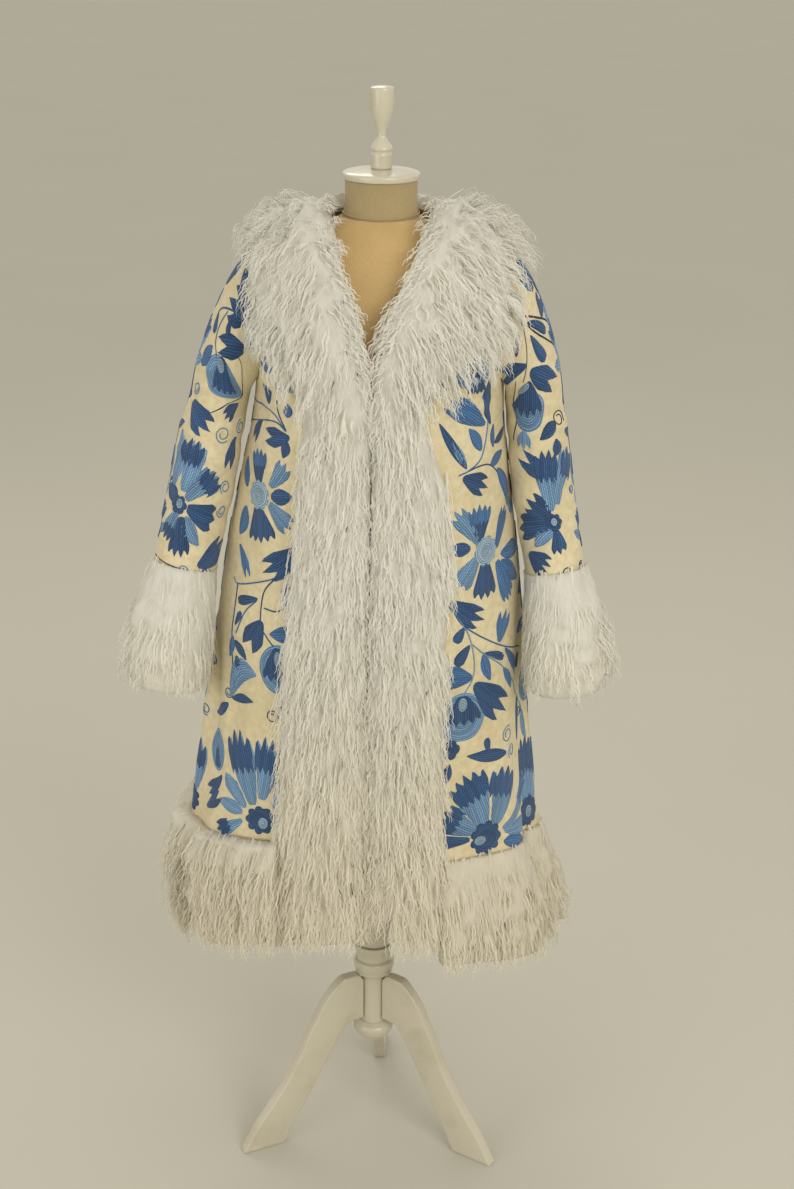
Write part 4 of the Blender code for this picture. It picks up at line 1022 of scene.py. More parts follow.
thread = {
    "tones": {"navy": "#1F2C47", "deep": "#2C4A72", "mid": "#3D6390", "light": "#6384A6",
              "pale": "#8AA3B8"},
    "raised": 0.0009,             # height of the stitched wool over the cotton
    "sunk": 0.0004,               # how far its edge goes into the cotton
    "layer": 0.0004,              # each motif that crosses another sits this much higher
    "rowWidth": 0.0036,           # chain-stitch rows; real ones are 1.3 mm, too fine to show
    "linkLength": 0.0056,
    "coilWidth": 0.0024,
    "roughness": 0.66,
    "fullness": {"leaf": 1.30, "drop": 1.15, "crescent": 1.1, "finger": 1.30, "fan": 1.32},
}
toothedKinds = ("fan", "finger")
longKinds = ("leaf", "drop", "crescent", *toothedKinds)
smallDisc = 14                    # narrower discs, in millimetres, are the flowers' hearts, on top
# motifs in millimetres on each cloth: u from the front edge, the back's middle or the sleeve's
# outside line, v the height, or on a sleeve the length down it; base, tip, width, teeth, tones;
# a disc has its middle, half width and half height, a rosette its radius and lobes
motifs = {
    "front_left": (
        ("fan", 171, 1515, 169, 1465, 36, 4, "deep"),
        ("leaf", 177, 1440, 154, 1460, 12, "pale"), ("coil", 193, 1430, 8, "deep"),
        ("coil", 195, 1400, 6, "deep"), ("disc", 142, 1399, 34, 40, "light"),
        ("fan", 141, 1402, 151, 1344, 33, 5, "deep"), ("disc", 148, 1379, 6, 8, "pale"),
        ("stem", ((166, 1329), (180, 1306), (182, 1283), (168, 1239), (145, 1223), (124, 1217)), 3.0, "mid"),
        ("stem", ((124, 1217), (164, 1225), (192, 1219), (227, 1185), (248, 1165)), 3.0, "deep"),
        ("leaf", 189, 1281, 184, 1386, 14, "deep"), ("finger", 178, 1285, 99, 1342, 36, 3, "mid"),
        ("leaf", 167, 1247, 139, 1284, 15, "mid"), ("leaf", 196, 1246, 200, 1282, 9, "mid"),
        ("leaf", 199, 1252, 239, 1269, 11, "deep"), ("leaf", 187, 1220, 225, 1235, 14, "mid"),
        ("leaf", 139, 1224, 90, 1302, 12, "deep"), ("leaf", 138, 1227, 113, 1273, 11, "light"),
        ("finger", 131, 1213, 180, 1189, 33, 3, "deep"), ("leaf", 205, 1214, 235, 1143, 18, "mid"),
        ("fan", 165, 1108, 164, 1166, 43, 5, "deep", "mid"),
        ("fan", 201, 1092, 229, 1150, 23, 3, "mid"),
        ("fan", 166, 1105, 116, 1163, 30, 3, "light"),
        ("leaf", 211, 1081, 286, 1066, 23, "mid"),
        ("fan", 176, 1080, 176, 1018, 44, 4, "deep"),
        ("fan", 203, 1073, 237, 1004, 32, 4, "mid"),
        ("fan", 162, 1088, 127, 1046, 36, 3, "light"),
        ("leaf", 212, 1071, 278, 1027, 21, "mid"), ("rosette", 178, 1093, 24, 10, "pale"),
        ("leaf", 158, 1100, 195, 1084, 12, "deep"), ("leaf", 148, 1102, 111, 1112, 18, "deep"),
        ("finger", 115, 1026, 179, 991, 36, 3, "deep"), ("finger", 210, 942, 225, 991, 30, 3, "mid"),
        ("drop", 140, 982, 125, 959, 20, "deep"), ("drop", 151, 952, 129, 921, 23, "deep"),
        ("stem", ((98, 1036), (111, 1020), (140, 982), (153, 955), (160, 921), (157, 896), (141, 872)),
         3.0, "light"),
        ("stem", ((140, 982), (179, 956), (226, 931), (294, 907)), 3.0, "mid"),
        ("stem", ((155, 952), (180, 930), (216, 904), (252, 864), (307, 803)), 3.0, "light"),
        ("drop", 178, 933, 221, 912, 15, "deep"), ("leaf", 176, 932, 193, 886, 15, "mid"),
        ("finger", 225, 929, 272, 873, 18, 2, "mid"), ("leaf", 221, 899, 238, 858, 11, "mid"),
        ("finger", 157, 898, 102, 912, 36, 2, "mid"), ("finger", 160, 888, 227, 829, 49, 3, "deep"),
        ("disc", 140, 837, 42, 40, "light"), ("fan", 139, 872, 142, 823, 55, 5, "deep"),
        ("disc", 140, 858, 8, 12, "pale"), ("leaf", 281, 830, 278, 757, 12, "deep"),
        ("leaf", 308, 799, 331, 741, 11, "light"), ("leaf", 230, 758, 149, 773, 17, "deep"),
        ("drop", 190, 768, 186, 794, 15, "deep"), ("rosette", 121, 787, 17, 5, "deep"),
        ("coil", 232, 787, 14, "light"), ("coil", 245, 756, 12, "light"),
        ("fan", 184, 648, 142, 738, 61, 5, "light", "deep"),
        ("fan", 203, 648, 226, 737, 53, 4, "light", "deep"),
        ("fan", 218, 638, 327, 698, 26, 3, "light", "mid"), ("leaf", 221, 634, 348, 628, 21, "light"),
        ("leaf", 221, 617, 280, 601, 20, "mid"), ("fan", 170, 642, 108, 682, 43, 4, "light", "deep"),
        ("fan", 159, 632, 95, 637, 23, 3, "deep"), ("rosette", 187, 630, 29, 9, "deep"),
        ("disc", 176, 627, 11, 8, "pale"), ("leaf", 107, 731, 119, 765, 15, "deep"),
    ),
    "front_right": (
        ("finger", 182, 1477, 145, 1490, 21, 2, "deep"), ("coil", 182, 1455, 9, "deep"),
        ("disc", 138, 1440, 28, 33, "light"), ("fan", 136, 1450, 140, 1411, 30, 5, "deep"),
        ("finger", 143, 1387, 188, 1411, 27, 2, "mid"),
        ("stem", ((130, 1411), (143, 1374), (145, 1314), (125, 1279)), 3.0, "deep"),
        ("stem", ((235, 1304), (161, 1303), (125, 1279)), 3.0, "mid"),
        ("stem", ((240, 1269), (155, 1288), (124, 1278)), 3.0, "mid"),
        ("leaf", 163, 1311, 176, 1360, 14, "deep"), ("leaf", 139, 1345, 102, 1384, 21, "light"),
        ("leaf", 122, 1299, 123, 1320, 14, "mid"), ("finger", 183, 1283, 202, 1245, 18, 2, "deep"),
        ("finger", 117, 1270, 173, 1267, 30, 2, "deep"), ("leaf", 124, 1266, 131, 1238, 14, "deep"),
        ("fan", 178, 1189, 184, 1240, 36, 4, "deep", "mid"),
        ("fan", 153, 1190, 125, 1232, 30, 3, "light"),
        ("leaf", 210, 1176, 219, 1220, 18, "mid"), ("leaf", 151, 1176, 110, 1184, 20, "deep"),
        ("fan", 153, 1166, 111, 1134, 33, 3, "light"),
        ("fan", 177, 1156, 166, 1103, 52, 5, "deep"),
        ("leaf", 206, 1150, 223, 1103, 20, "mid"), ("rosette", 176, 1173, 23, 9, "pale"),
        ("leaf", 197, 1168, 157, 1177, 12, "deep"), ("finger", 217, 1089, 195, 1040, 18, 2, "mid"),
        ("finger", 101, 1106, 162, 1063, 40, 3, "deep"),
        ("stem", ((229, 1034), (217, 1027), (166, 1043), (135, 1057), (105, 1083)), 3.0, "mid"),
        ("stem", ((217, 1027), (224, 979), (227, 941), (216, 862)), 3.0, "deep"),
        ("stem", ((135, 1057), (158, 1027), (164, 979), (153, 961), (139, 947)), 3.0, "deep"),
        ("stem", ((171, 1013), (197, 988), (217, 949)), 3.0, "mid"),
        ("stem", ((157, 1004), (135, 1003), (117, 1013)), 3.0, "deep"),
        ("drop", 169, 1016, 215, 1001, 18, "deep"), ("drop", 220, 961, 206, 986, 12, "deep"),
        ("finger", 161, 983, 190, 931, 40, 2, "deep"), ("disc", 106, 1031, 22, 21, "light"),
        ("fan", 107, 1053, 111, 1026, 30, 3, "deep"), ("leaf", 99, 978, 148, 969, 21, "mid"),
        ("leaf", 219, 938, 192, 912, 12, "deep"), ("leaf", 214, 915, 197, 888, 12, "deep"),
        ("leaf", 224, 944, 231, 908, 11, "mid"), ("disc", 129, 912, 36, 40, "light"),
        ("fan", 130, 947, 131, 888, 49, 5, "deep"), ("disc", 131, 929, 6, 12, "pale"),
        ("finger", 114, 872, 125, 843, 24, 3, "light"), ("crescent", 225, 843, 159, 873, 36, "light"),
        ("leaf", 222, 844, 174, 848, 12, "deep"), ("leaf", 228, 834, 274, 804, 14, "deep"),
        ("coil", 141, 834, 12, "deep"), ("coil", 229, 851, 9, "mid"),
        ("leaf", 114, 798, 120, 821, 12, "deep"), ("fan", 176, 665, 207, 797, 46, 4, "light", "deep"),
        ("fan", 160, 680, 147, 798, 44, 4, "light", "deep"),
        ("fan", 141, 666, 117, 757, 30, 3, "light", "deep"),
        ("fan", 190, 658, 231, 717, 27, 1, "light"),
        ("leaf", 195, 647, 244, 663, 23, "light"), ("fan", 196, 633, 245, 607, 26, 3, "light", "deep"),
        ("leaf", 135, 637, 108, 658, 17, "deep"), ("rosette", 161, 638, 29, 9, "deep"),
        ("disc", 156, 632, 9, 12, "pale"), ("disc", 258, 746, 22, 36, "light"),
        ("fan", 262, 748, 253, 717, 18, 4, "deep"),
        ("finger", 240, 708, 290, 668, 24, 2, "deep"), ("finger", 285, 635, 242, 677, 24, 2, "deep"),
    ),
    "sleeve_left": (
        ("drop", -1, 25, -33, 53, 43, "deep"), ("drop", -1, 38, -2, 73, 17, "deep"),
        ("leaf", -23, 14, -54, 20, 12, "light"), ("leaf", -91, 6, -60, 38, 21, "deep"),
        ("finger", -32, 87, -8, 72, 23, 2, "deep"), ("leaf", -13, 107, -9, 85, 12, "light"),
        ("stem", ((-92, 3), (-82, 38), (-46, 76), (-7, 111), (-11, 138)), 3.0, "navy"),
        ("stem", ((-85, 38), (-91, 66), (-100, 96), (-110, 122)), 3.0, "navy"),
        ("stem", ((-87, 38), (-60, 85), (-18, 129)), 3.0, "navy"),
        ("drop", -100, 44, -129, 53, 23, "deep"), ("drop", -76, 57, -31, 106, 14, "deep"),
        ("drop", -77, 73, -50, 126, 21, "deep"), ("finger", -100, 99, -199, 5, 33, 2, "deep"),
        ("finger", -93, 114, -34, 170, 36, 2, "deep"), ("disc", -101, 196, 33, 38, "light"),
        ("fan", -102, 130, -102, 212, 52, 5, "deep"), ("disc", -107, 140, 12, 11, "pale"),
        ("finger", -111, 231, -114, 260, 30, 3, "light"), ("coil", -40, 220, 14, "navy"),
        ("leaf", -50, 222, -83, 246, 17, "deep"), ("finger", -60, 314, -123, 263, 30, 2, "deep"),
        ("leaf", -54, 275, -53, 248, 15, "deep"), ("fan", -75, 358, -75, 263, 40, 4, "light", "deep"),
        ("fan", -64, 349, -29, 267, 26, 3, "light", "deep"),
        ("finger", -75, 367, -116, 335, 36, 3, "deep"),
        ("fan", -74, 376, -144, 383, 40, 3, "deep"),
        ("fan", -72, 384, -66, 425, 27, 3, "deep"), ("leaf", -76, 384, -107, 411, 20, "light"),
        ("rosette", -72, 374, 14, 7, "deep"), ("disc", -72, 373, 5, 6, "pale"),
        ("finger", -124, 417, -89, 447, 36, 4, "deep"), ("coil", -58, 455, 11, "navy"),
        ("coil", -25, 451, 8, "navy"),
        ("stem", ((-133, 456), (-97, 456), (-75, 456), (-27, 456)), 2.4, "navy"),
        ("drop", -104, 456, -107, 456, 8, "deep"),
        ("stem", ((-131, 100), (-129, 166), (-126, 217), (-140, 248)), 2.4, "navy"),
    ),
    "sleeve_right": (
        ("fan", -15, 4, -67, 16, 43, 4, "deep"),
        ("fan", -1, 12, -8, 51, 26, 3, "deep"), ("finger", -113, 12, -38, 54, 40, 3, "deep"),
        ("stem", ((-30, 95), (-33, 79), (-68, 52), (-95, 32), (-114, 7)), 3.0, "mid"),
        ("stem", ((-53, 66), (-47, 99), (-68, 120)), 3.0, "mid"),
        ("drop", -69, 58, -78, 80, 18, "deep"), ("drop", -32, 86, -38, 108, 15, "deep"),
        ("finger", -132, 42, -56, 107, 30, 2, "deep"), ("leaf", -110, 19, -151, 23, 24, "deep"),
        ("leaf", -35, 153, -50, 116, 18, "mid"), ("disc", -92, 145, 43, 38, "light"),
        ("fan", -82, 108, -95, 172, 46, 5, "deep"), ("disc", -81, 123, 8, 11, "pale"),
        ("coil", -38, 184, 9, "light"), ("finger", -125, 195, -107, 218, 24, 3, "deep"),
        ("finger", -36, 202, -87, 237, 40, 3, "deep"), ("coil", -109, 241, 15, "light"),
        ("coil", -145, 228, 12, "light"), ("finger", -140, 243, -133, 299, 21, 2, "deep"),
        ("fan", -58, 342, -66, 258, 41, 4, "light", "deep"), ("leaf", -33, 339, -25, 249, 20, "light"),
        ("fan", -66, 352, -112, 305, 36, 4, "light", "deep"),
        ("fan", -70, 363, -121, 373, 41, 3, "deep"),
        ("leaf", -70, 376, -102, 416, 21, "light"), ("fan", -66, 378, -71, 442, 36, 4, "deep"),
        ("fan", -55, 372, -37, 421, 30, 4, "light", "deep"), ("leaf", -52, 359, -13, 340, 18, "deep"),
        ("rosette", -55, 362, 15, 6, "deep"), ("disc", -57, 360, 6, 8, "pale"),
        ("finger", -103, 452, -158, 405, 43, 4, "deep"), ("coil", -132, 325, 11, "light"),
        ("coil", -134, 361, 11, "light"),
        ("stem", ((-13, 450), (-67, 458), (-99, 460), (-143, 460)), 2.4, "navy"),
        ("coil", -80, 460, 9, "light"), ("leaf", -110, 460, -132, 460, 9, "deep"),
        ("stem", ((-111, 69), (-136, 79), (-128, 171), (-63, 221)), 2.4, "navy"),
    ),
    "front_side": (
        ("fan", 330, 640, 318, 748, 44, 4, "light", "deep"),
        ("fan", 345, 640, 362, 736, 40, 4, "light", "deep"),
        ("rosette", 338, 632, 26, 9, "deep"), ("disc", 338, 632, 8, 10, "pale"),
        ("disc", 326, 842, 31, 36, "light"), ("fan", 326, 876, 326, 834, 48, 5, "deep"),
        ("stem", ((326, 878), (318, 930), (300, 968), (292, 1000)), 3.0, "mid"),
        ("leaf", 320, 920, 346, 944, 15, "deep"), ("leaf", 308, 955, 282, 932, 14, "mid"),
        ("finger", 300, 968, 334, 1000, 34, 3, "deep"), ("leaf", 352, 780, 344, 812, 13, "deep"),
        ("coil", 296, 800, 10, "mid"), ("fan", 300, 1050, 302, 1102, 40, 5, "deep", "mid"),
        ("fan", 300, 1040, 298, 988, 36, 4, "deep"), ("rosette", 300, 1046, 20, 9, "pale"),
        ("leaf", 282, 1150, 268, 1186, 14, "deep"), ("finger", 276, 1206, 258, 1240, 26, 3, "mid"),
        ("drop", 248, 1262, 240, 1290, 14, "deep"), ("leaf", 256, 1130, 244, 1160, 12, "light"),
        ("leaf", 346, 880, 356, 916, 12, "mid"), ("drop", 290, 900, 282, 876, 14, "deep"),
    ),
    "sleeve_side": (
        ("fan", 0, 66, 2, 30, 34, 4, "deep"), ("leaf", 4, 96, -4, 72, 14, "mid"),
        ("fan", 0, 152, -4, 104, 38, 5, "light", "deep"), ("fan", 0, 164, 4, 208, 40, 5, "deep"),
        ("leaf", -6, 158, -32, 150, 12, "light"), ("leaf", 6, 158, 32, 164, 12, "light"),
        ("rosette", 0, 158, 14, 9, "pale"), ("leaf", -6, 158, 8, 158, 6, "deep"),
        ("stem", ((2, 208), (10, 232), (-4, 256), (2, 282)), 2.6, "navy"),
        ("leaf", 7, 232, 34, 222, 12, "deep"), ("leaf", -2, 252, -30, 240, 12, "deep"),
        ("disc", 2, 306, 23, 28, "light"), ("fan", 2, 280, 2, 314, 34, 5, "deep"),
        ("disc", 2, 288, 4, 7, "pale"), ("finger", 2, 336, -4, 358, 20, 3, "light"),
        ("fan", 0, 408, -14, 366, 26, 4, "light", "deep"), ("fan", 4, 408, 18, 368, 26, 4, "light", "deep"),
        ("leaf", -6, 412, -32, 396, 12, "light"), ("leaf", 10, 412, 34, 398, 12, "deep"),
        ("rosette", 2, 414, 13, 8, "deep"), ("disc", 2, 414, 4, 5, "pale"), ("coil", -24, 332, 7, "mid"),
    ),
    "back_middle": (
        ("fan", -2, 640, -34, 738, 50, 5, "light", "deep"), ("fan", 6, 640, 26, 742, 50, 5, "light", "deep"),
        ("fan", -10, 632, -74, 700, 38, 4, "light", "deep"),
        ("fan", 14, 632, 70, 704, 38, 4, "light", "deep"),
        ("rosette", 2, 628, 28, 9, "deep"), ("disc", 2, 628, 8, 10, "pale"),
        ("stem", ((0, 800), (-8, 850), (6, 900), (-4, 948)), 3.0, "mid"),
        ("disc", 0, 790, 30, 36, "light"), ("fan", 0, 824, 0, 782, 46, 5, "deep"),
        ("leaf", -6, 860, -36, 884, 16, "deep"), ("leaf", 4, 890, 34, 912, 16, "deep"),
        ("fan", 0, 1010, 0, 1070, 46, 5, "deep", "mid"), ("fan", 2, 1000, 2, 942, 46, 5, "deep"),
        ("fan", -10, 1006, -56, 1030, 30, 3, "light"), ("fan", 12, 1006, 56, 1028, 30, 3, "light"),
        ("rosette", 0, 1006, 24, 10, "pale"), ("leaf", -12, 1006, 14, 1006, 10, "deep"),
        ("stem", ((0, 1072), (10, 1110), (-6, 1150), (4, 1192)), 3.0, "mid"),
        ("finger", 6, 1106, 44, 1136, 32, 3, "deep"), ("finger", -4, 1130, -44, 1160, 32, 3, "deep"),
        ("disc", 2, 1232, 30, 38, "light"), ("fan", 2, 1196, 2, 1242, 46, 5, "deep"),
        ("leaf", -8, 1290, -40, 1318, 15, "mid"), ("leaf", 10, 1290, 42, 1316, 15, "mid"),
        ("fan", 0, 1330, 0, 1386, 42, 5, "deep"), ("leaf", -18, 1350, -52, 1384, 18, "light"),
        ("leaf", 18, 1350, 52, 1386, 18, "light"), ("finger", 0, 1420, 0, 1452, 28, 3, "mid"),
    ),
    "back_side": (
        ("fan", 318, 640, 296, 742, 46, 5, "light", "deep"),
        ("fan", 332, 640, 352, 734, 42, 4, "light", "deep"),
        ("rosette", 324, 630, 26, 9, "deep"), ("disc", 324, 630, 8, 10, "pale"),
        ("disc", 322, 850, 30, 36, "light"), ("fan", 322, 884, 322, 842, 46, 5, "deep"),
        ("stem", ((322, 886), (312, 930), (296, 964), (290, 1010)), 3.0, "mid"),
        ("finger", 312, 930, 344, 962, 32, 3, "deep"), ("leaf", 300, 958, 272, 940, 14, "deep"),
        ("fan", 284, 1052, 286, 1106, 40, 5, "deep", "mid"), ("fan", 284, 1044, 280, 992, 40, 5, "deep"),
        ("rosette", 284, 1048, 20, 9, "pale"), ("leaf", 246, 1150, 236, 1190, 15, "deep"),
        ("finger", 226, 1206, 214, 1246, 28, 3, "deep"), ("drop", 206, 1274, 196, 1306, 16, "deep"),
        ("leaf", 180, 1340, 190, 1384, 15, "mid"), ("coil", 340, 800, 10, "mid"),
        ("fan", 150, 1420, 150, 1470, 34, 4, "deep"), ("leaf", 350, 900, 356, 936, 12, "mid"),
    ),
}


def chainStitchedWool():
    # twisted wool worked in rows of chain stitch: matt, with a ridge for each row and uneven dye
    made, tree, shader = newMaterial("chainStitchedWool")
    tone = addNode(tree, "Attribute", attribute_name="dye")
    spot = addNode(tree, "UVMap", uv_map="stitch")
    apart = addNode(tree, "SeparateXYZ", {"Vector": spot})
    # rows wander a little, and each is a ridge
    wander = addNode(tree, "TexNoise", {"Vector": spot, "Scale": 120.0, "Detail": 1.0})
    rowAt = addNode(tree, "Math", {0: wander, 1: 0.0022, 2: apart.outputs["X"]}, operation="MULTIPLY_ADD")
    rowTurn = addNode(tree, "Math", {0: rowAt, 1: math.pi / thread["rowWidth"]}, operation="MULTIPLY")
    rowWave = addNode(tree, "Math", {0: rowTurn}, operation="SINE")
    ridge = addNode(tree, "Math", {0: rowWave}, operation="ABSOLUTE")
    rowShare = addNode(tree, "Math", {0: rowAt, 1: 1 / thread["rowWidth"]}, operation="MULTIPLY")
    rowNumber = addNode(tree, "Math", {0: rowShare}, operation="FLOOR")
    # links follow each other along a row, and start further on in the next one
    linkTurn = addNode(tree, "Math", {0: apart.outputs["Y"], 1: math.pi / thread["linkLength"]},
                       operation="MULTIPLY")
    linkStart = addNode(tree, "Math", {0: rowNumber, 1: 1.3, 2: linkTurn}, operation="MULTIPLY_ADD")
    linkWave = addNode(tree, "Math", {0: linkStart}, operation="SINE")
    link = addNode(tree, "Math", {0: linkWave}, operation="ABSOLUTE")
    height = addNode(tree, "Math", {0: link, 1: 0.45, 2: ridge}, operation="MULTIPLY_ADD")
    # each row takes the dye a little differently; painted shade makes it darker between the rows, and a
    # painted highlight makes each ridge lighter
    rowSpot = addNode(tree, "CombineXYZ", {"X": rowNumber, "Y": apart.outputs["Y"]})
    batches = addNode(tree, "TexNoise", {"Vector": rowSpot, "Scale": 7.3, "Detail": 2.0})
    dyed = addNode(tree, "MapRange", {"Value": batches, "From Min": 0.3, "From Max": 0.7,
                                      "To Min": 0.74, "To Max": 1.34})
    lit = addNode(tree, "MapRange", {"Value": height, "From Max": 1.3, "To Min": 0.40, "To Max": 1.42})
    both = addNode(tree, "Math", {0: dyed, 1: lit}, operation="MULTIPLY")
    mixed = addNode(tree, "VectorMath", {0: tone, "Scale": both}, operation="SCALE")
    bump = addNode(tree, "Bump", {"Height": height, "Strength": 0.8, "Distance": 0.0016})
    feed(tree, shader, {"Base Color": mixed, "Normal": bump, "Roughness": thread["roughness"],
                        "Specular IOR Level": 0.3, "Sheen Weight": 0.12})
    return made


def zigzag(t, teeth):
    # 0 in the notches and 1 at the points, over t from -1 to 1
    return 1 - np.abs((0.5 * (t + 1) * teeth) % 1.0 - 0.5) * 2


def shapeLeaf(kind, base, tip, width, teeth, start, rng):
    # a petal, leaf or drop as a grid over the cloth, rows from its base to its tip; start is the
    # share of the length below which nothing is stitched
    toothed = kind in toothedKinds
    run = tip - base
    length = np.hypot(*run)
    along, aside = run / length, np.array((-run[1], run[0])) / length
    t = np.linspace(-1, 1, 4 * teeth + 1 if toothed else 7)
    t = np.concatenate(((-1.0,), t * 0.93, (1.0,)))
    s = np.concatenate(((0.0, 0.04), np.linspace(0.1, 0.96, max(6, round(length / 0.007))), (1.0,)))
    end = np.ones(len(t))
    if kind == "leaf":
        half = np.sin(math.pi * s**0.85) ** 0.85
        bend = rng.uniform(-0.10, 0.10)
    elif kind == "crescent":
        half = np.sin(math.pi * s) ** 0.7
        bend = -0.42
    elif kind == "drop":
        half = 1.08 * s**0.62 * np.sqrt(np.clip(1 - s**5, 0, 1))
        bend = rng.uniform(-0.06, 0.06)
    elif kind == "finger":
        half = 0.14 + 0.86 * np.sin(0.5 * math.pi * s**0.9)
        half[0] = 0.02
        bend = rng.uniform(-0.10, 0.10)
        end = 1.04 - 0.16 * t**2 - 0.36 * (1 - zigzag(t, teeth))
    else:
        half = 0.20 + 0.80 * s**0.8
        half[0] *= 0.6
        bend = rng.uniform(-0.05, 0.05)
        end = 1.03 - 0.13 * t**2 - 0.20 * (1 - zigzag(t, teeth)) * rng.uniform(0.8, 1.2)
    begin = start * (0.86 + 0.22 * zigzag(t, max(3, teeth))) if start else 0 * t
    span = begin[None, :] + (end - begin)[None, :] * s[:, None]
    # toothed motifs take their width from where each point lies, the others from their row
    breadth = np.interp(span, s, half) if toothed else np.repeat(half[:, None], len(t), axis=1)
    offset = 0.5 * width * breadth * t[None, :]
    lateral = offset + bend * length * 4 * span * (1 - 0.8 * span)
    spots = base + along * (length * span)[:, :, None] + aside * lateral[:, :, None]
    inside = np.minimum(np.minimum(s, 1 - s)[:, None] * 30, (1 - np.abs(t))[None, :] * 14.5)
    return spots, np.clip(inside, 0, 1), np.stack((offset + 0.5, length * span), axis=-1)


def shapeDisc(centre, wide, tall, lobes, rng):
    # a roundel, or a rosette where it has lobes, as rings round its centre
    turn = np.linspace(0, 2 * math.pi, 49)
    s = np.concatenate(((0.0,), np.linspace(0.2, 0.94, 5), (1.0,)))
    edge = 1 + 0.012 * np.sin(5 * turn + rng.uniform(0, 6))
    if lobes:
        edge = 0.76 + 0.24 * np.abs(np.cos(0.5 * lobes * turn)) ** 0.7
    radius = s[:, None] * (1 + (edge - 1) * s[:, None] ** 2)
    spots = centre + np.stack((wide * radius * np.cos(turn), tall * radius * np.sin(turn)), axis=-1)
    inside = np.clip((1 - s) * 16, 0, 1)[:, None] * np.ones(len(turn))
    size = 0.5 * (wide + tall)
    return spots, inside, np.stack((radius * size, 0 * radius + turn * size), axis=-1)


def shapeStem(line, width):
    # a narrow ribbon of stitches along a smooth line
    line = np.array(line, float)
    t = np.arange(len(line))
    fine = np.linspace(0, len(line) - 1, (len(line) - 1) * 7 + 1)
    curve = np.stack((catmull(line[:, 0], fine), catmull(line[:, 1], fine)), axis=1)
    return ribbonOf(curve, width)


def catmull(values, at):
    # passes through every value, with a steady slope there
    i = np.clip(np.floor(at).astype(int), 0, len(values) - 2)
    t = at - i
    full = np.concatenate(((2 * values[0] - values[1],), values, (2 * values[-1] - values[-2],)))
    a, b, c, d = full[i], full[i + 1], full[i + 2], full[i + 3]
    return 0.5 * (2 * b + (c - a) * t + (2 * a - 5 * b + 4 * c - d) * t**2 + (3 * b - a - 3 * c + d) * t**3)


def ribbonOf(curve, width):
    # four columns along a curve, raised in the middle
    run = np.gradient(curve, axis=0)
    run /= np.maximum(np.linalg.norm(run, axis=1), 1e-9)[:, None]
    aside = np.stack((-run[:, 1], run[:, 0]), axis=1)
    t = np.array((-1.0, -0.45, 0.45, 1.0))
    spots = curve[:, None] + aside[:, None] * (0.5 * width * t)[None, :, None]
    inside = np.repeat(np.array((0.0, 1.0, 1.0, 0.0))[None, :], len(curve), axis=0)
    stitch = np.stack((np.repeat((0.5 * width * t)[None, :], len(curve), axis=0) + 0.0013,
                       np.repeat(lengthsOf(curve)[:, None], 4, axis=1)), axis=-1)
    return spots, inside, stitch


def shapeCoil(centre, radius, number):
    # a tendril that curls in on itself, to the left or right by turns
    turn = np.linspace(0.4, 3.0 * math.pi, 34)
    size = radius * (1.0 - 0.62 * (turn / turn[-1]))
    sign = 1 if number % 2 else -1
    curve = centre + np.stack((size * np.cos(turn + number), sign * size * np.sin(turn + number)), axis=1)
    return ribbonOf(curve, thread["coilWidth"])


def patchesOf(table, seed):
    # every motif as grids over the cloth, with the dye and the layer of each
    rng = np.random.default_rng(seed)
    made = []
    for number, (kind, *sizes) in enumerate(table):
        if kind in longKinds:
            base, tip = np.array(sizes[:2]) / 1000, np.array(sizes[2:4]) / 1000
            width = sizes[4] / 1000 * thread["fullness"][kind]
            teeth = sizes[5] if kind in toothedKinds else 0
            tone = sizes[6] if kind in toothedKinds else sizes[5]
            made.append((*shapeLeaf(kind, base, tip, width, teeth, 0, rng), tone, 0))
            if len(sizes) > 7:
                # a second dye fills the outer half of the flower
                made.append((*shapeLeaf(kind, base, tip, width * 1.02, teeth, 0.52, rng), sizes[7], 1))
        elif kind == "disc":
            layer = 3 if sizes[2] < smallDisc else 0
            u, v, wide, tall = np.array(sizes[:4]) / 1000
            made.append((*shapeDisc(np.array((u, v)), wide, tall, 0, rng), sizes[4], layer))
        elif kind == "rosette":
            u, v, wide = np.array(sizes[:3]) / 1000
            made.append((*shapeDisc(np.array((u, v)), wide, wide, sizes[3], rng), sizes[4], 2))
        elif kind == "stem":
            made.append((*shapeStem(np.array(sizes[0]) / 1000, sizes[1] / 1000), sizes[2], 0))
        else:
            u, v, radius = np.array(sizes[:3]) / 1000
            made.append((*shapeCoil(np.array((u, v)), radius, number), sizes[3], 0))
    # a flower of one dye that lies on its roundel sits two layers higher
    for before, motif in zip(table, table[1:]):
        if before[0] == "disc" and motif[0] == "fan" and len(motif) == 8:
            base = np.array(motif[1:3]) / 1000
            made = [(*p[:4], 2) if np.allclose(p[0][0].mean(axis=0), base, atol=1e-3) else p for p in made]
    return made


def moved(table, across=0, flip=1, low=-900, high=900):
    # a copy of some motifs, shifted or turned over sideways, kept where its places fall in a range
    made = []
    for kind, *sizes in table:
        if kind == "stem":
            sizes[0] = tuple((flip * (u + across), v) for u, v in sizes[0])
            places = [u for u, _ in sizes[0]]
        else:
            for k in (0, 2) if kind in longKinds else (0,):
                sizes[k] = flip * (sizes[k] + across)
            places = [sizes[0]]
        if all(low <= u <= high for u in places):
            made.append((kind, *sizes))
    return made


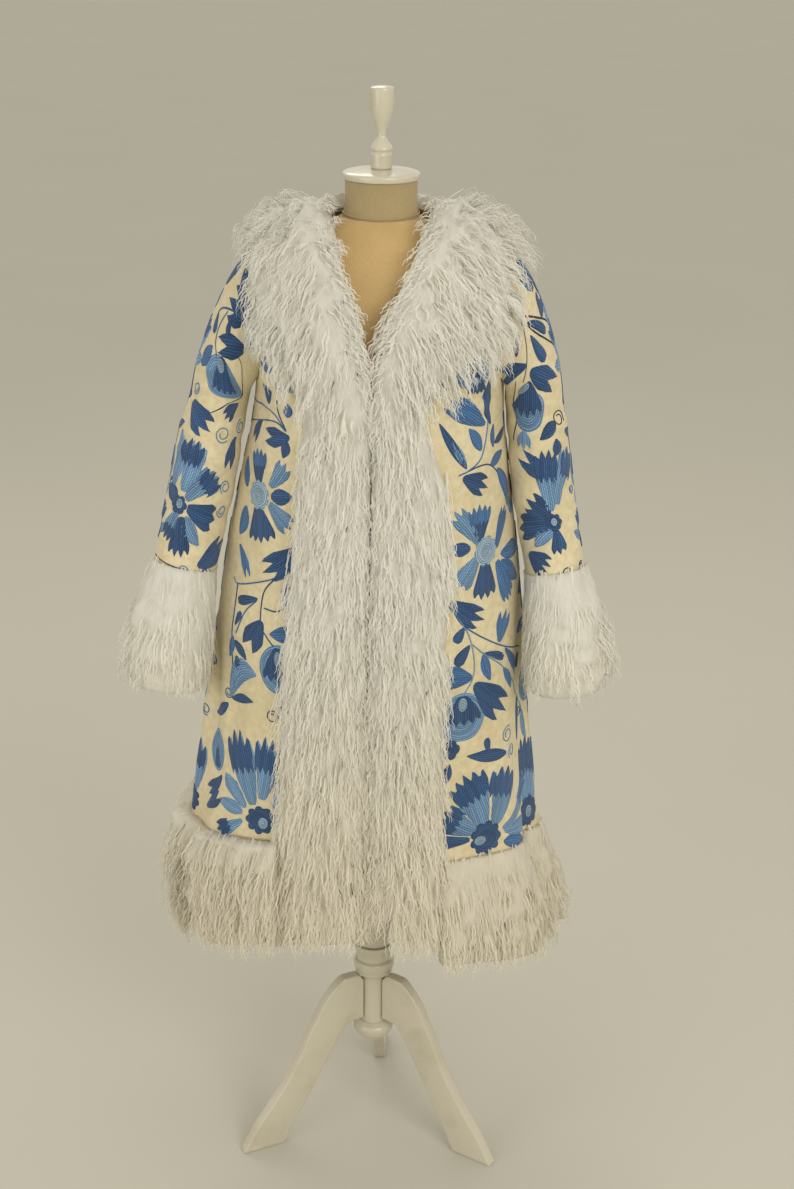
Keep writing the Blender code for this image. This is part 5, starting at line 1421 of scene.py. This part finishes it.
def embroider(name, surface, table, seed):
    # the stitched motifs of one cloth, as one mesh that follows its folds
    places, faces, dyes, stitches, total = [], [], [], [], 0
    rng = np.random.default_rng(seed)
    sunk = thread["sunk"]
    for spots, inside, stitch, tone, layer in patchesOf(table, seed):
        lift = -sunk + (thread["raised"] + sunk) * inside + thread["layer"] * layer
        at = placeOn(surface, spots[:, :, 0], spots[:, :, 1], lift)
        rows, cols = at.shape[:2]
        quads = gridFaces(rows, cols)
        flat = at.reshape(-1, 3)
        a, b = flat[quads[:, 2]] - flat[quads[:, 0]], flat[quads[:, 3]] - flat[quads[:, 1]]
        # faces that have shrunk to nothing are dropped, and the rest are turned outward
        keep = np.linalg.norm(np.cross(a, b), axis=1) > 2e-8
        quads = quads[keep]
        normal = np.cross(a, b)[keep].sum(axis=0)
        u, v = spots[rows // 2, cols // 2][:, None, None]
        on, above = (placeOn(surface, u, v, np.array([[height]]))[0, 0] for height in (0.0, 0.01))
        if normal @ (above - on) < 0:
            quads = quads[:, ::-1]
        places.append(flat)
        faces.append(quads + total)
        dye = np.array(linear(thread["tones"][tone])) * rng.uniform(0.88, 1.12)
        dyes.append(np.repeat(dye[None, :], len(flat), axis=0))
        stitches.append(stitch.reshape(-1, 2) + rng.uniform(0, 1, 2) * 0.01)
        total += len(flat)
    made = meshFrom(name, np.concatenate(places), np.concatenate(faces), finishes["stitching"])
    giveColour(made, "dye", np.concatenate(dyes))
    giveUv(made, "stitch", np.concatenate(stitches))
    print("stitches", name, "triangles", 2 * sum(len(f) for f in faces))
    return finishPiece(made, "cloth")


form = {
    "rows": (
        (0.800, 0.150, 0.098, 0.104), (0.812, 0.158, 0.104, 0.110), (0.880, 0.166, 0.108, 0.116),
        (0.970, 0.168, 0.106, 0.114), (1.060, 0.150, 0.098, 0.098), (1.160, 0.125, 0.092, 0.084),
        (1.240, 0.134, 0.104, 0.090), (1.310, 0.146, 0.124, 0.100), (1.360, 0.152, 0.127, 0.105),
        (1.420, 0.157, 0.118, 0.108), (1.470, 0.161, 0.104, 0.100), (1.505, 0.1635, 0.0870, 0.0850),
        (1.525, 0.1518, 0.0740, 0.0730), (1.543, 0.1228, 0.0630, 0.0630), (1.558, 0.0915, 0.0570, 0.0570),
        (1.570, 0.0720, 0.0555, 0.0555), (1.5785, 0.0575, 0.055, 0.055),
    ),
    "squareness": 2.25,
    "neck": ((1.5790, 0.0565), (1.5830, 0.0550), (1.600, 0.0535), (1.6315, 0.0530)),
    "lid": ((1.6320, 0.0545), (1.6330, 0.0562), (1.6375, 0.0568), (1.6405, 0.0562), (1.6435, 0.0480),
            (1.6460, 0.0200)),
    "finial": ((1.6464, 0.0150), (1.6500, 0.0158), (1.6660, 0.0158), (1.6700, 0.0146), (1.6720, 0.0150),
               (1.6745, 0.0162), (1.6790, 0.0148), (1.6860, 0.0095), (1.6930, 0.0062), (1.7000, 0.0068),
               (1.7080, 0.0096), (1.7180, 0.0134), (1.7300, 0.0163), (1.7450, 0.0174), (1.7590, 0.0172),
               (1.7620, 0.0150), (1.7635, 0.0080)),
    "torsoColour": "#C4A774",
    "neckColour": "#A6946E",
    "jerseyRib": 0.0034,          # wales of the knit; real ones are 1 mm, too fine to show
    "jerseyRoughness": 0.82,
    "seamRadius": 0.0562,
    "seamHeight": 1.5835,
}
stand = {
    "pole": ((0.3530, 0.0290), (0.3560, 0.0305), (0.7900, 0.0305), (0.7996, 0.0300)),
    "stem": ((0.2020, 0.0222), (0.2400, 0.0219), (0.2864, 0.0222), (0.2970, 0.0318), (0.3020, 0.0322),
             (0.3060, 0.0334), (0.3130, 0.0344), (0.3200, 0.0334), (0.3240, 0.0290), (0.3320, 0.0292),
             (0.3440, 0.0332), (0.3526, 0.0348)),
    "knob": ((0.1680, 0.0120), (0.1710, 0.0240), (0.1790, 0.0315), (0.1880, 0.0338), (0.1950, 0.0318),
             (0.2016, 0.0240)),
    "legOuter": ((0.0227, 0.2855), (0.0345, 0.2962), (0.0560, 0.2955), (0.0780, 0.2795), (0.0970, 0.2545),
                 (0.1110, 0.2265), (0.1260, 0.1990), (0.1410, 0.1640), (0.1640, 0.1220), (0.1900, 0.0840),
                 (0.2190, 0.0460), (0.2470, 0.0000)),
    "legInner": ((0.1710, 0.0000), (0.1520, 0.0400), (0.1300, 0.0740), (0.1080, 0.1150), (0.0860, 0.1550),
                 (0.0560, 0.2020), (0.0380, 0.2090), (0.0227, 0.2100)),
    "legThickness": 0.020,
    "legRound": 0.0028,
    "legTurn": -3.5,
    "lacquer": "#C6C0AD",
    "rubbed": "#B7AF97",
    "roughness": 0.24,
}


def knittedJersey(name, colour, slant):
    # fine cotton jersey stretched over the form: matt, with narrow ribs that run on the slant
    made, tree, shader = newMaterial(name)
    spot = addNode(tree, "UVMap", uv_map="knit")
    apart = addNode(tree, "SeparateXYZ", {"Vector": spot})
    lean = addNode(tree, "Math", {0: apart.outputs["Y"], 1: slant, 2: apart.outputs["X"]},
                   operation="MULTIPLY_ADD")
    turn = addNode(tree, "Math", {0: lean, 1: 2 * math.pi / form["jerseyRib"]}, operation="MULTIPLY")
    rib = addNode(tree, "Math", {0: turn}, operation="SINE")
    fuzz = addNode(tree, "TexNoise", {"Vector": spot, "Scale": 240.0, "Detail": 3.0})
    worn = addNode(tree, "TexNoise", {"Vector": spot, "Scale": 7.0, "Detail": 4.0})
    height = addNode(tree, "Math", {0: rib, 1: 0.35, 2: fuzz}, operation="MULTIPLY_ADD")
    # the tone is uneven wear, with painted shade in the furrows of the ribs and the fuzz
    tone = addNode(tree, "Math", {0: height, 1: 0.25, 2: worn}, operation="MULTIPLY_ADD")
    base = np.array(linear(colour))
    ramp = toneRamp(tree, tone, (0.35, base * 0.80), (0.85, base * 1.10))
    bump = addNode(tree, "Bump", {"Height": height, "Strength": 0.4, "Distance": 0.0012})
    feed(tree, shader, {"Base Color": ramp, "Normal": bump, "Roughness": form["jerseyRoughness"],
                        "Specular IOR Level": 0.25, "Sheen Weight": 0.2})
    return made


def sprayedLacquer():
    # cream lacquer sprayed over turned beech: glossy, faintly uneven, rubbed darker in places
    made, tree, shader = newMaterial("sprayedLacquerOnBeech")
    spot = addNode(tree, "TexCoord").outputs["Object"]
    cloud = addNode(tree, "TexNoise", {"Vector": spot, "Scale": 14.0, "Detail": 5.0})
    peel = addNode(tree, "TexNoise", {"Vector": spot, "Scale": 160.0, "Detail": 2.0})
    ramp = toneRamp(tree, cloud, (0.25, linear(stand["rubbed"])), (0.5, linear(stand["lacquer"])))
    gloss = addNode(tree, "MapRange", {"Value": cloud, "To Min": stand["roughness"] + 0.1,
                                       "To Max": stand["roughness"] - 0.06})
    bump = addNode(tree, "Bump", {"Height": peel, "Strength": 0.06, "Distance": 0.001})
    feed(tree, shader, {"Base Color": ramp, "Roughness": gloss, "Normal": bump, "IOR": 1.5,
                        "Coat Weight": 0.4, "Coat Roughness": 0.12})
    return made


def curveThrough(points, between):
    # a smooth line through a profile's points, with some more between them
    p = np.array(points, float)
    t = np.arange(len(p))
    fine = np.linspace(0, len(p) - 1, (len(p) - 1) * between + 1)
    return np.stack((smooth(t, p[:, 0], fine), smooth(t, p[:, 1], fine)), axis=1)


def closedLoft(name, rings, finish, uv=None):
    # skins rings of points from foot to top and closes both ends with a fan
    rows, cols = rings.shape[:2]
    ends = np.stack((rings[0].mean(axis=0), rings[-1].mean(axis=0)))
    points = np.concatenate((rings.reshape(-1, 3), ends))
    j = np.arange(cols)
    k = (j + 1) % cols
    foot = np.stack((k, j, np.full(cols, rows * cols)), axis=1)
    top = np.stack((j + (rows - 1) * cols, k + (rows - 1) * cols, np.full(cols, rows * cols + 1)), axis=1)
    made = meshFrom(name, points, [gridFaces(rows, cols, True), foot, top], finish)
    if uv is not None:
        giveUv(made, "knit", np.concatenate((uv.reshape(-1, 2), uv[0, :1], uv[-1, :1])))
    return made


def turnedPiece(name, profile, finish, slot, node, sides=72, knit=False):
    # a piece turned on a lathe, from heights and radii
    line = curveThrough(profile, 5)
    angles = roundTurns(sides)
    rings = np.stack((line[:, 1, None] * np.cos(angles), line[:, 1, None] * np.sin(angles),
                      np.repeat(line[:, :1], sides, axis=1)), axis=-1)
    uv = None
    if knit:
        uv = np.stack((line[:, 1, None] * angles[None, :], np.repeat(line[:, :1], sides, axis=1)), axis=-1)
    made = closedLoft(name, rings, finish, uv)
    made.data.set_sharp_from_angle(angle=math.radians(48))
    return finishPiece(made, slot, node)


def dressForm():
    # the torso's sections are round in the way of a squared ellipse, deeper behind than in front
    table = np.array(form["rows"])
    heights = np.concatenate((np.linspace(0.80, 1.50, 90), np.linspace(1.503, 1.5785, 28)))
    wide, front, back = (smooth(table[:, 0], table[:, k], heights) for k in (1, 2, 3))
    angles = roundTurns(128)
    power = 2.0 / form["squareness"]
    c, s = np.cos(angles), np.sin(angles)
    x = wide[:, None] * np.sign(c) * np.abs(c) ** power
    y = np.where(s > 0, back[:, None], front[:, None]) * np.sign(s) * np.abs(s) ** power
    rings = np.stack((x, y, np.repeat(heights[:, None], len(angles), axis=1)), axis=-1)
    uv = np.stack((0.15 * np.repeat(angles[None, :], len(heights), axis=0), rings[:, :, 2]), axis=-1)
    torso = closedLoft("torso", rings, finishes["jersey"], uv)
    finishPiece(torso, "jersey", "form_torso")
    turnedPiece("neck", form["neck"], finishes["neckJersey"], "jersey", "form_neck", knit=True)
    for name in ("lid", "finial"):
        turnedPiece(name, form[name], finishes["lacquer"], "lacquer", f"form_{name}")
    neckSeam()


def neckSeam():
    # the seam where the neck's own jersey is sewn to the torso's: a thin rolled edge
    around, bead = roundTurns(96), roundTurns(8)
    radius = form["seamRadius"] + 0.0011 * np.cos(bead)
    rings = np.stack((radius[None, :] * np.cos(around)[:, None], radius[None, :] * np.sin(around)[:, None],
                      form["seamHeight"] + 0.0012 * np.sin(bead)[None, :]
                      - 0.002 * np.cos(around - 1.57)[:, None] ** 2), axis=-1)
    i, j = np.mgrid[0:len(around), 0:len(bead)]
    a, b = (i + 1) % len(around), (j + 1) % len(bead)
    faces = np.stack((i * 8 + j, a * 8 + j, a * 8 + b, i * 8 + b), axis=-1).reshape(-1, 4)
    seam = meshFrom("neck_seam", rings.reshape(-1, 3), faces, finishes["neckJersey"])
    uv = (np.repeat(around, len(bead)) * 0.056, np.tile(bead, len(around)) * 0.001)
    giveUv(seam, "knit", np.stack(uv, axis=1))
    finishPiece(seam, "jersey")


def tripodStand():
    for name in ("pole", "stem", "knob"):
        turnedPiece(name, stand[name], finishes["lacquer"], "lacquer", f"stand_{name}")
    outline = np.concatenate((curveThrough(stand["legOuter"], 6), curveThrough(stand["legInner"], 6)))
    for number, name in enumerate(("left", "back", "right")):
        angle = math.radians(60.0 + stand["legTurn"] + 120.0 * number)
        along = np.array((math.sin(angle), -math.cos(angle), 0.0))
        across = np.array((math.cos(angle), math.sin(angle), 0.0)) * 0.5 * stand["legThickness"]
        up = np.array((0.0, 0.0, 1.0))
        face = outline[:, :1] * along + outline[:, 1:] * up
        count = len(outline)
        points = np.concatenate((face - across, face + across))
        j = np.arange(count)
        k = (j + 1) % count
        sides = np.stack((k, j, count + j, count + k), axis=1)
        caps = np.stack((j, np.arange(2 * count - 1, count - 1, -1)))
        leg = meshFrom(f"leg_board_{name}", points, [sides, caps], finishes["lacquer"])
        bend = leg.modifiers.new("rounded", "BEVEL")
        bend.width = stand["legRound"]
        bend.segments = 3
        bend.angle_limit = math.radians(40)
        finishPiece(leg, "lacquer", f"leg_{name}")


room = {
    "floor": "#C1BFB4",
    "floorSize": 70.0,
    "keyPower": 63.0,
    "fillPower": 28.0,
    "ambient": "#DCD7CB",
    "ambientStrength": 1.06,
    "pitch": 0.3714,              # camera looks down by this, radians
    "roll": 0.0134,
    "lens": 88.53,
    "eye": (0.045, -2.8755, 2.0996),
}


def paleFloor():
    # matt painted studio floor, wide enough to fill the picture
    made, tree, shader = newMaterial("mattStudioPaint")
    spot = addNode(tree, "TexCoord").outputs["Object"]
    cloud = addNode(tree, "TexNoise", {"Vector": spot, "Scale": 1.2, "Detail": 3.0})
    base = np.array(linear(room["floor"]))
    ramp = toneRamp(tree, cloud, (0.0, base * 0.97), (1.0, base * 1.03))
    feed(tree, shader, {"Base Color": ramp, "Roughness": 0.9})
    reach = 0.5 * room["floorSize"]
    corners = np.array([(x, y, 0.0) for y in (-reach, reach) for x in (-reach, reach)])
    floor = meshFrom("studio_floor", corners, np.array([[0, 1, 3, 2]]), made)


def areaLight(name, place, target, size, power, colour):
    light = bpy.data.lights.new(name, "AREA")
    light.shape = "RECTANGLE"
    light.size, light.size_y = size
    light.energy = power
    light.color = linear(colour)
    made = placed(name, light)
    look = np.array(target) - np.array(place)
    look = look / np.linalg.norm(look)
    made.location = place
    made.rotation_euler = (math.acos(-look[2]), 0.0, math.atan2(look[1], look[0]) - math.pi / 2)


def lightsAndCamera():
    areaLight("soft_key", (1.8, -3.3, 2.8), (0, 0, 1.2), (2.2, 1.6), room["keyPower"], "#FFFAF0")
    areaLight("soft_fill", (-2.9, -2.8, 1.5), (0, 0, 1.0), (2.4, 2.0), room["fillPower"], "#F4F3F2")
    areaLight("soft_back", (-0.8, 2.6, 3.4), (0, 0, 1.2), (2.0, 1.2), 22.0, "#FFF9EE")
    world = bpy.data.worlds.new("studio_air")
    world.use_nodes = True
    back = world.node_tree.nodes["Background"]
    back.inputs["Color"].default_value = (*linear(room["ambient"]), 1)
    back.inputs["Strength"].default_value = room["ambientStrength"]
    bpy.context.scene.world = world
    bpy.context.scene.view_settings.view_transform = "Standard"
    data = bpy.data.cameras.new("photo_camera")
    data.sensor_width = 36.0
    data.sensor_fit = "HORIZONTAL"
    data.lens = room["lens"]
    made = placed("photo_camera", data)
    made.rotation_mode = "QUATERNION"
    tilt = Quaternion((1, 0, 0), math.pi / 2 - room["pitch"])
    made.rotation_quaternion = tilt @ Quaternion((0, 0, 1), room["roll"])
    made.location = room["eye"]
    bpy.context.scene.camera = made


finishes = {
    "wool": lambWool(),
    "cotton": unbleachedCotton(),
    "stitching": chainStitchedWool(),
    "jersey": knittedJersey("cottonJerseyTorso", form["torsoColour"], 0.55),
    "neckJersey": knittedJersey("cottonJerseyNeck", form["neckColour"], 0.0),
    "lacquer": sprayedLacquer(),
}
print("stage: form and stand")
dressForm()
tripodStand()
print("stage: cloth")
surfaces = {"back": pressCreases(backSurface(), backCreases)}
for side, name in ((1, "left"), (-1, "right")):
    surfaces["front_" + name] = pressCreases(frontSurface(side), frontCreases[side])
    surfaces["sleeve_" + name] = pressCreases(sleeveSurface(side), sleeveCreases[side])
cloths = {name: clothPiece("cotton_" + name, surface, name in ("front_right", "back", "sleeve_left"), name)
          for name, surface in surfaces.items()}
print("stage: embroidery")
worked = {}
for name in ("left", "right"):
    front, arm = motifs["front_" + name], motifs["sleeve_" + name]
    worked["front_" + name] = list(front) + list(motifs["front_side"])
    worked["sleeve_" + name] = list(arm) + moved(arm, 0, -1, 14, 400) + list(motifs["sleeve_side"])
worked["back"] = (list(motifs["back_middle"]) + moved(motifs["front_left"], -40, 1, 62, 262)
                  + moved(motifs["front_right"], -40, -1, -262, -62)
                  + list(motifs["back_side"]) + moved(motifs["back_side"], 0, -1))
stitched = {name: embroider("stitches_" + name, surfaces[name], table, 100 + k)
            for k, (name, table) in enumerate(worked.items())}
print("stage: fur")
pelts = {}
for side, name in ((1, "left"), (-1, "right")):
    pelts["front_" + name] = [frontFur(side)]
    pelts["sleeve_" + name] = [cuffFur(side)]
pelts["back"] = [collarFur()]
for made, cloth in zip(hemFur(), ("front_left", "front_right", "back")):
    pelts[cloth].append(made)
print("stage: light and camera")
paleFloor()
lightsAndCamera()
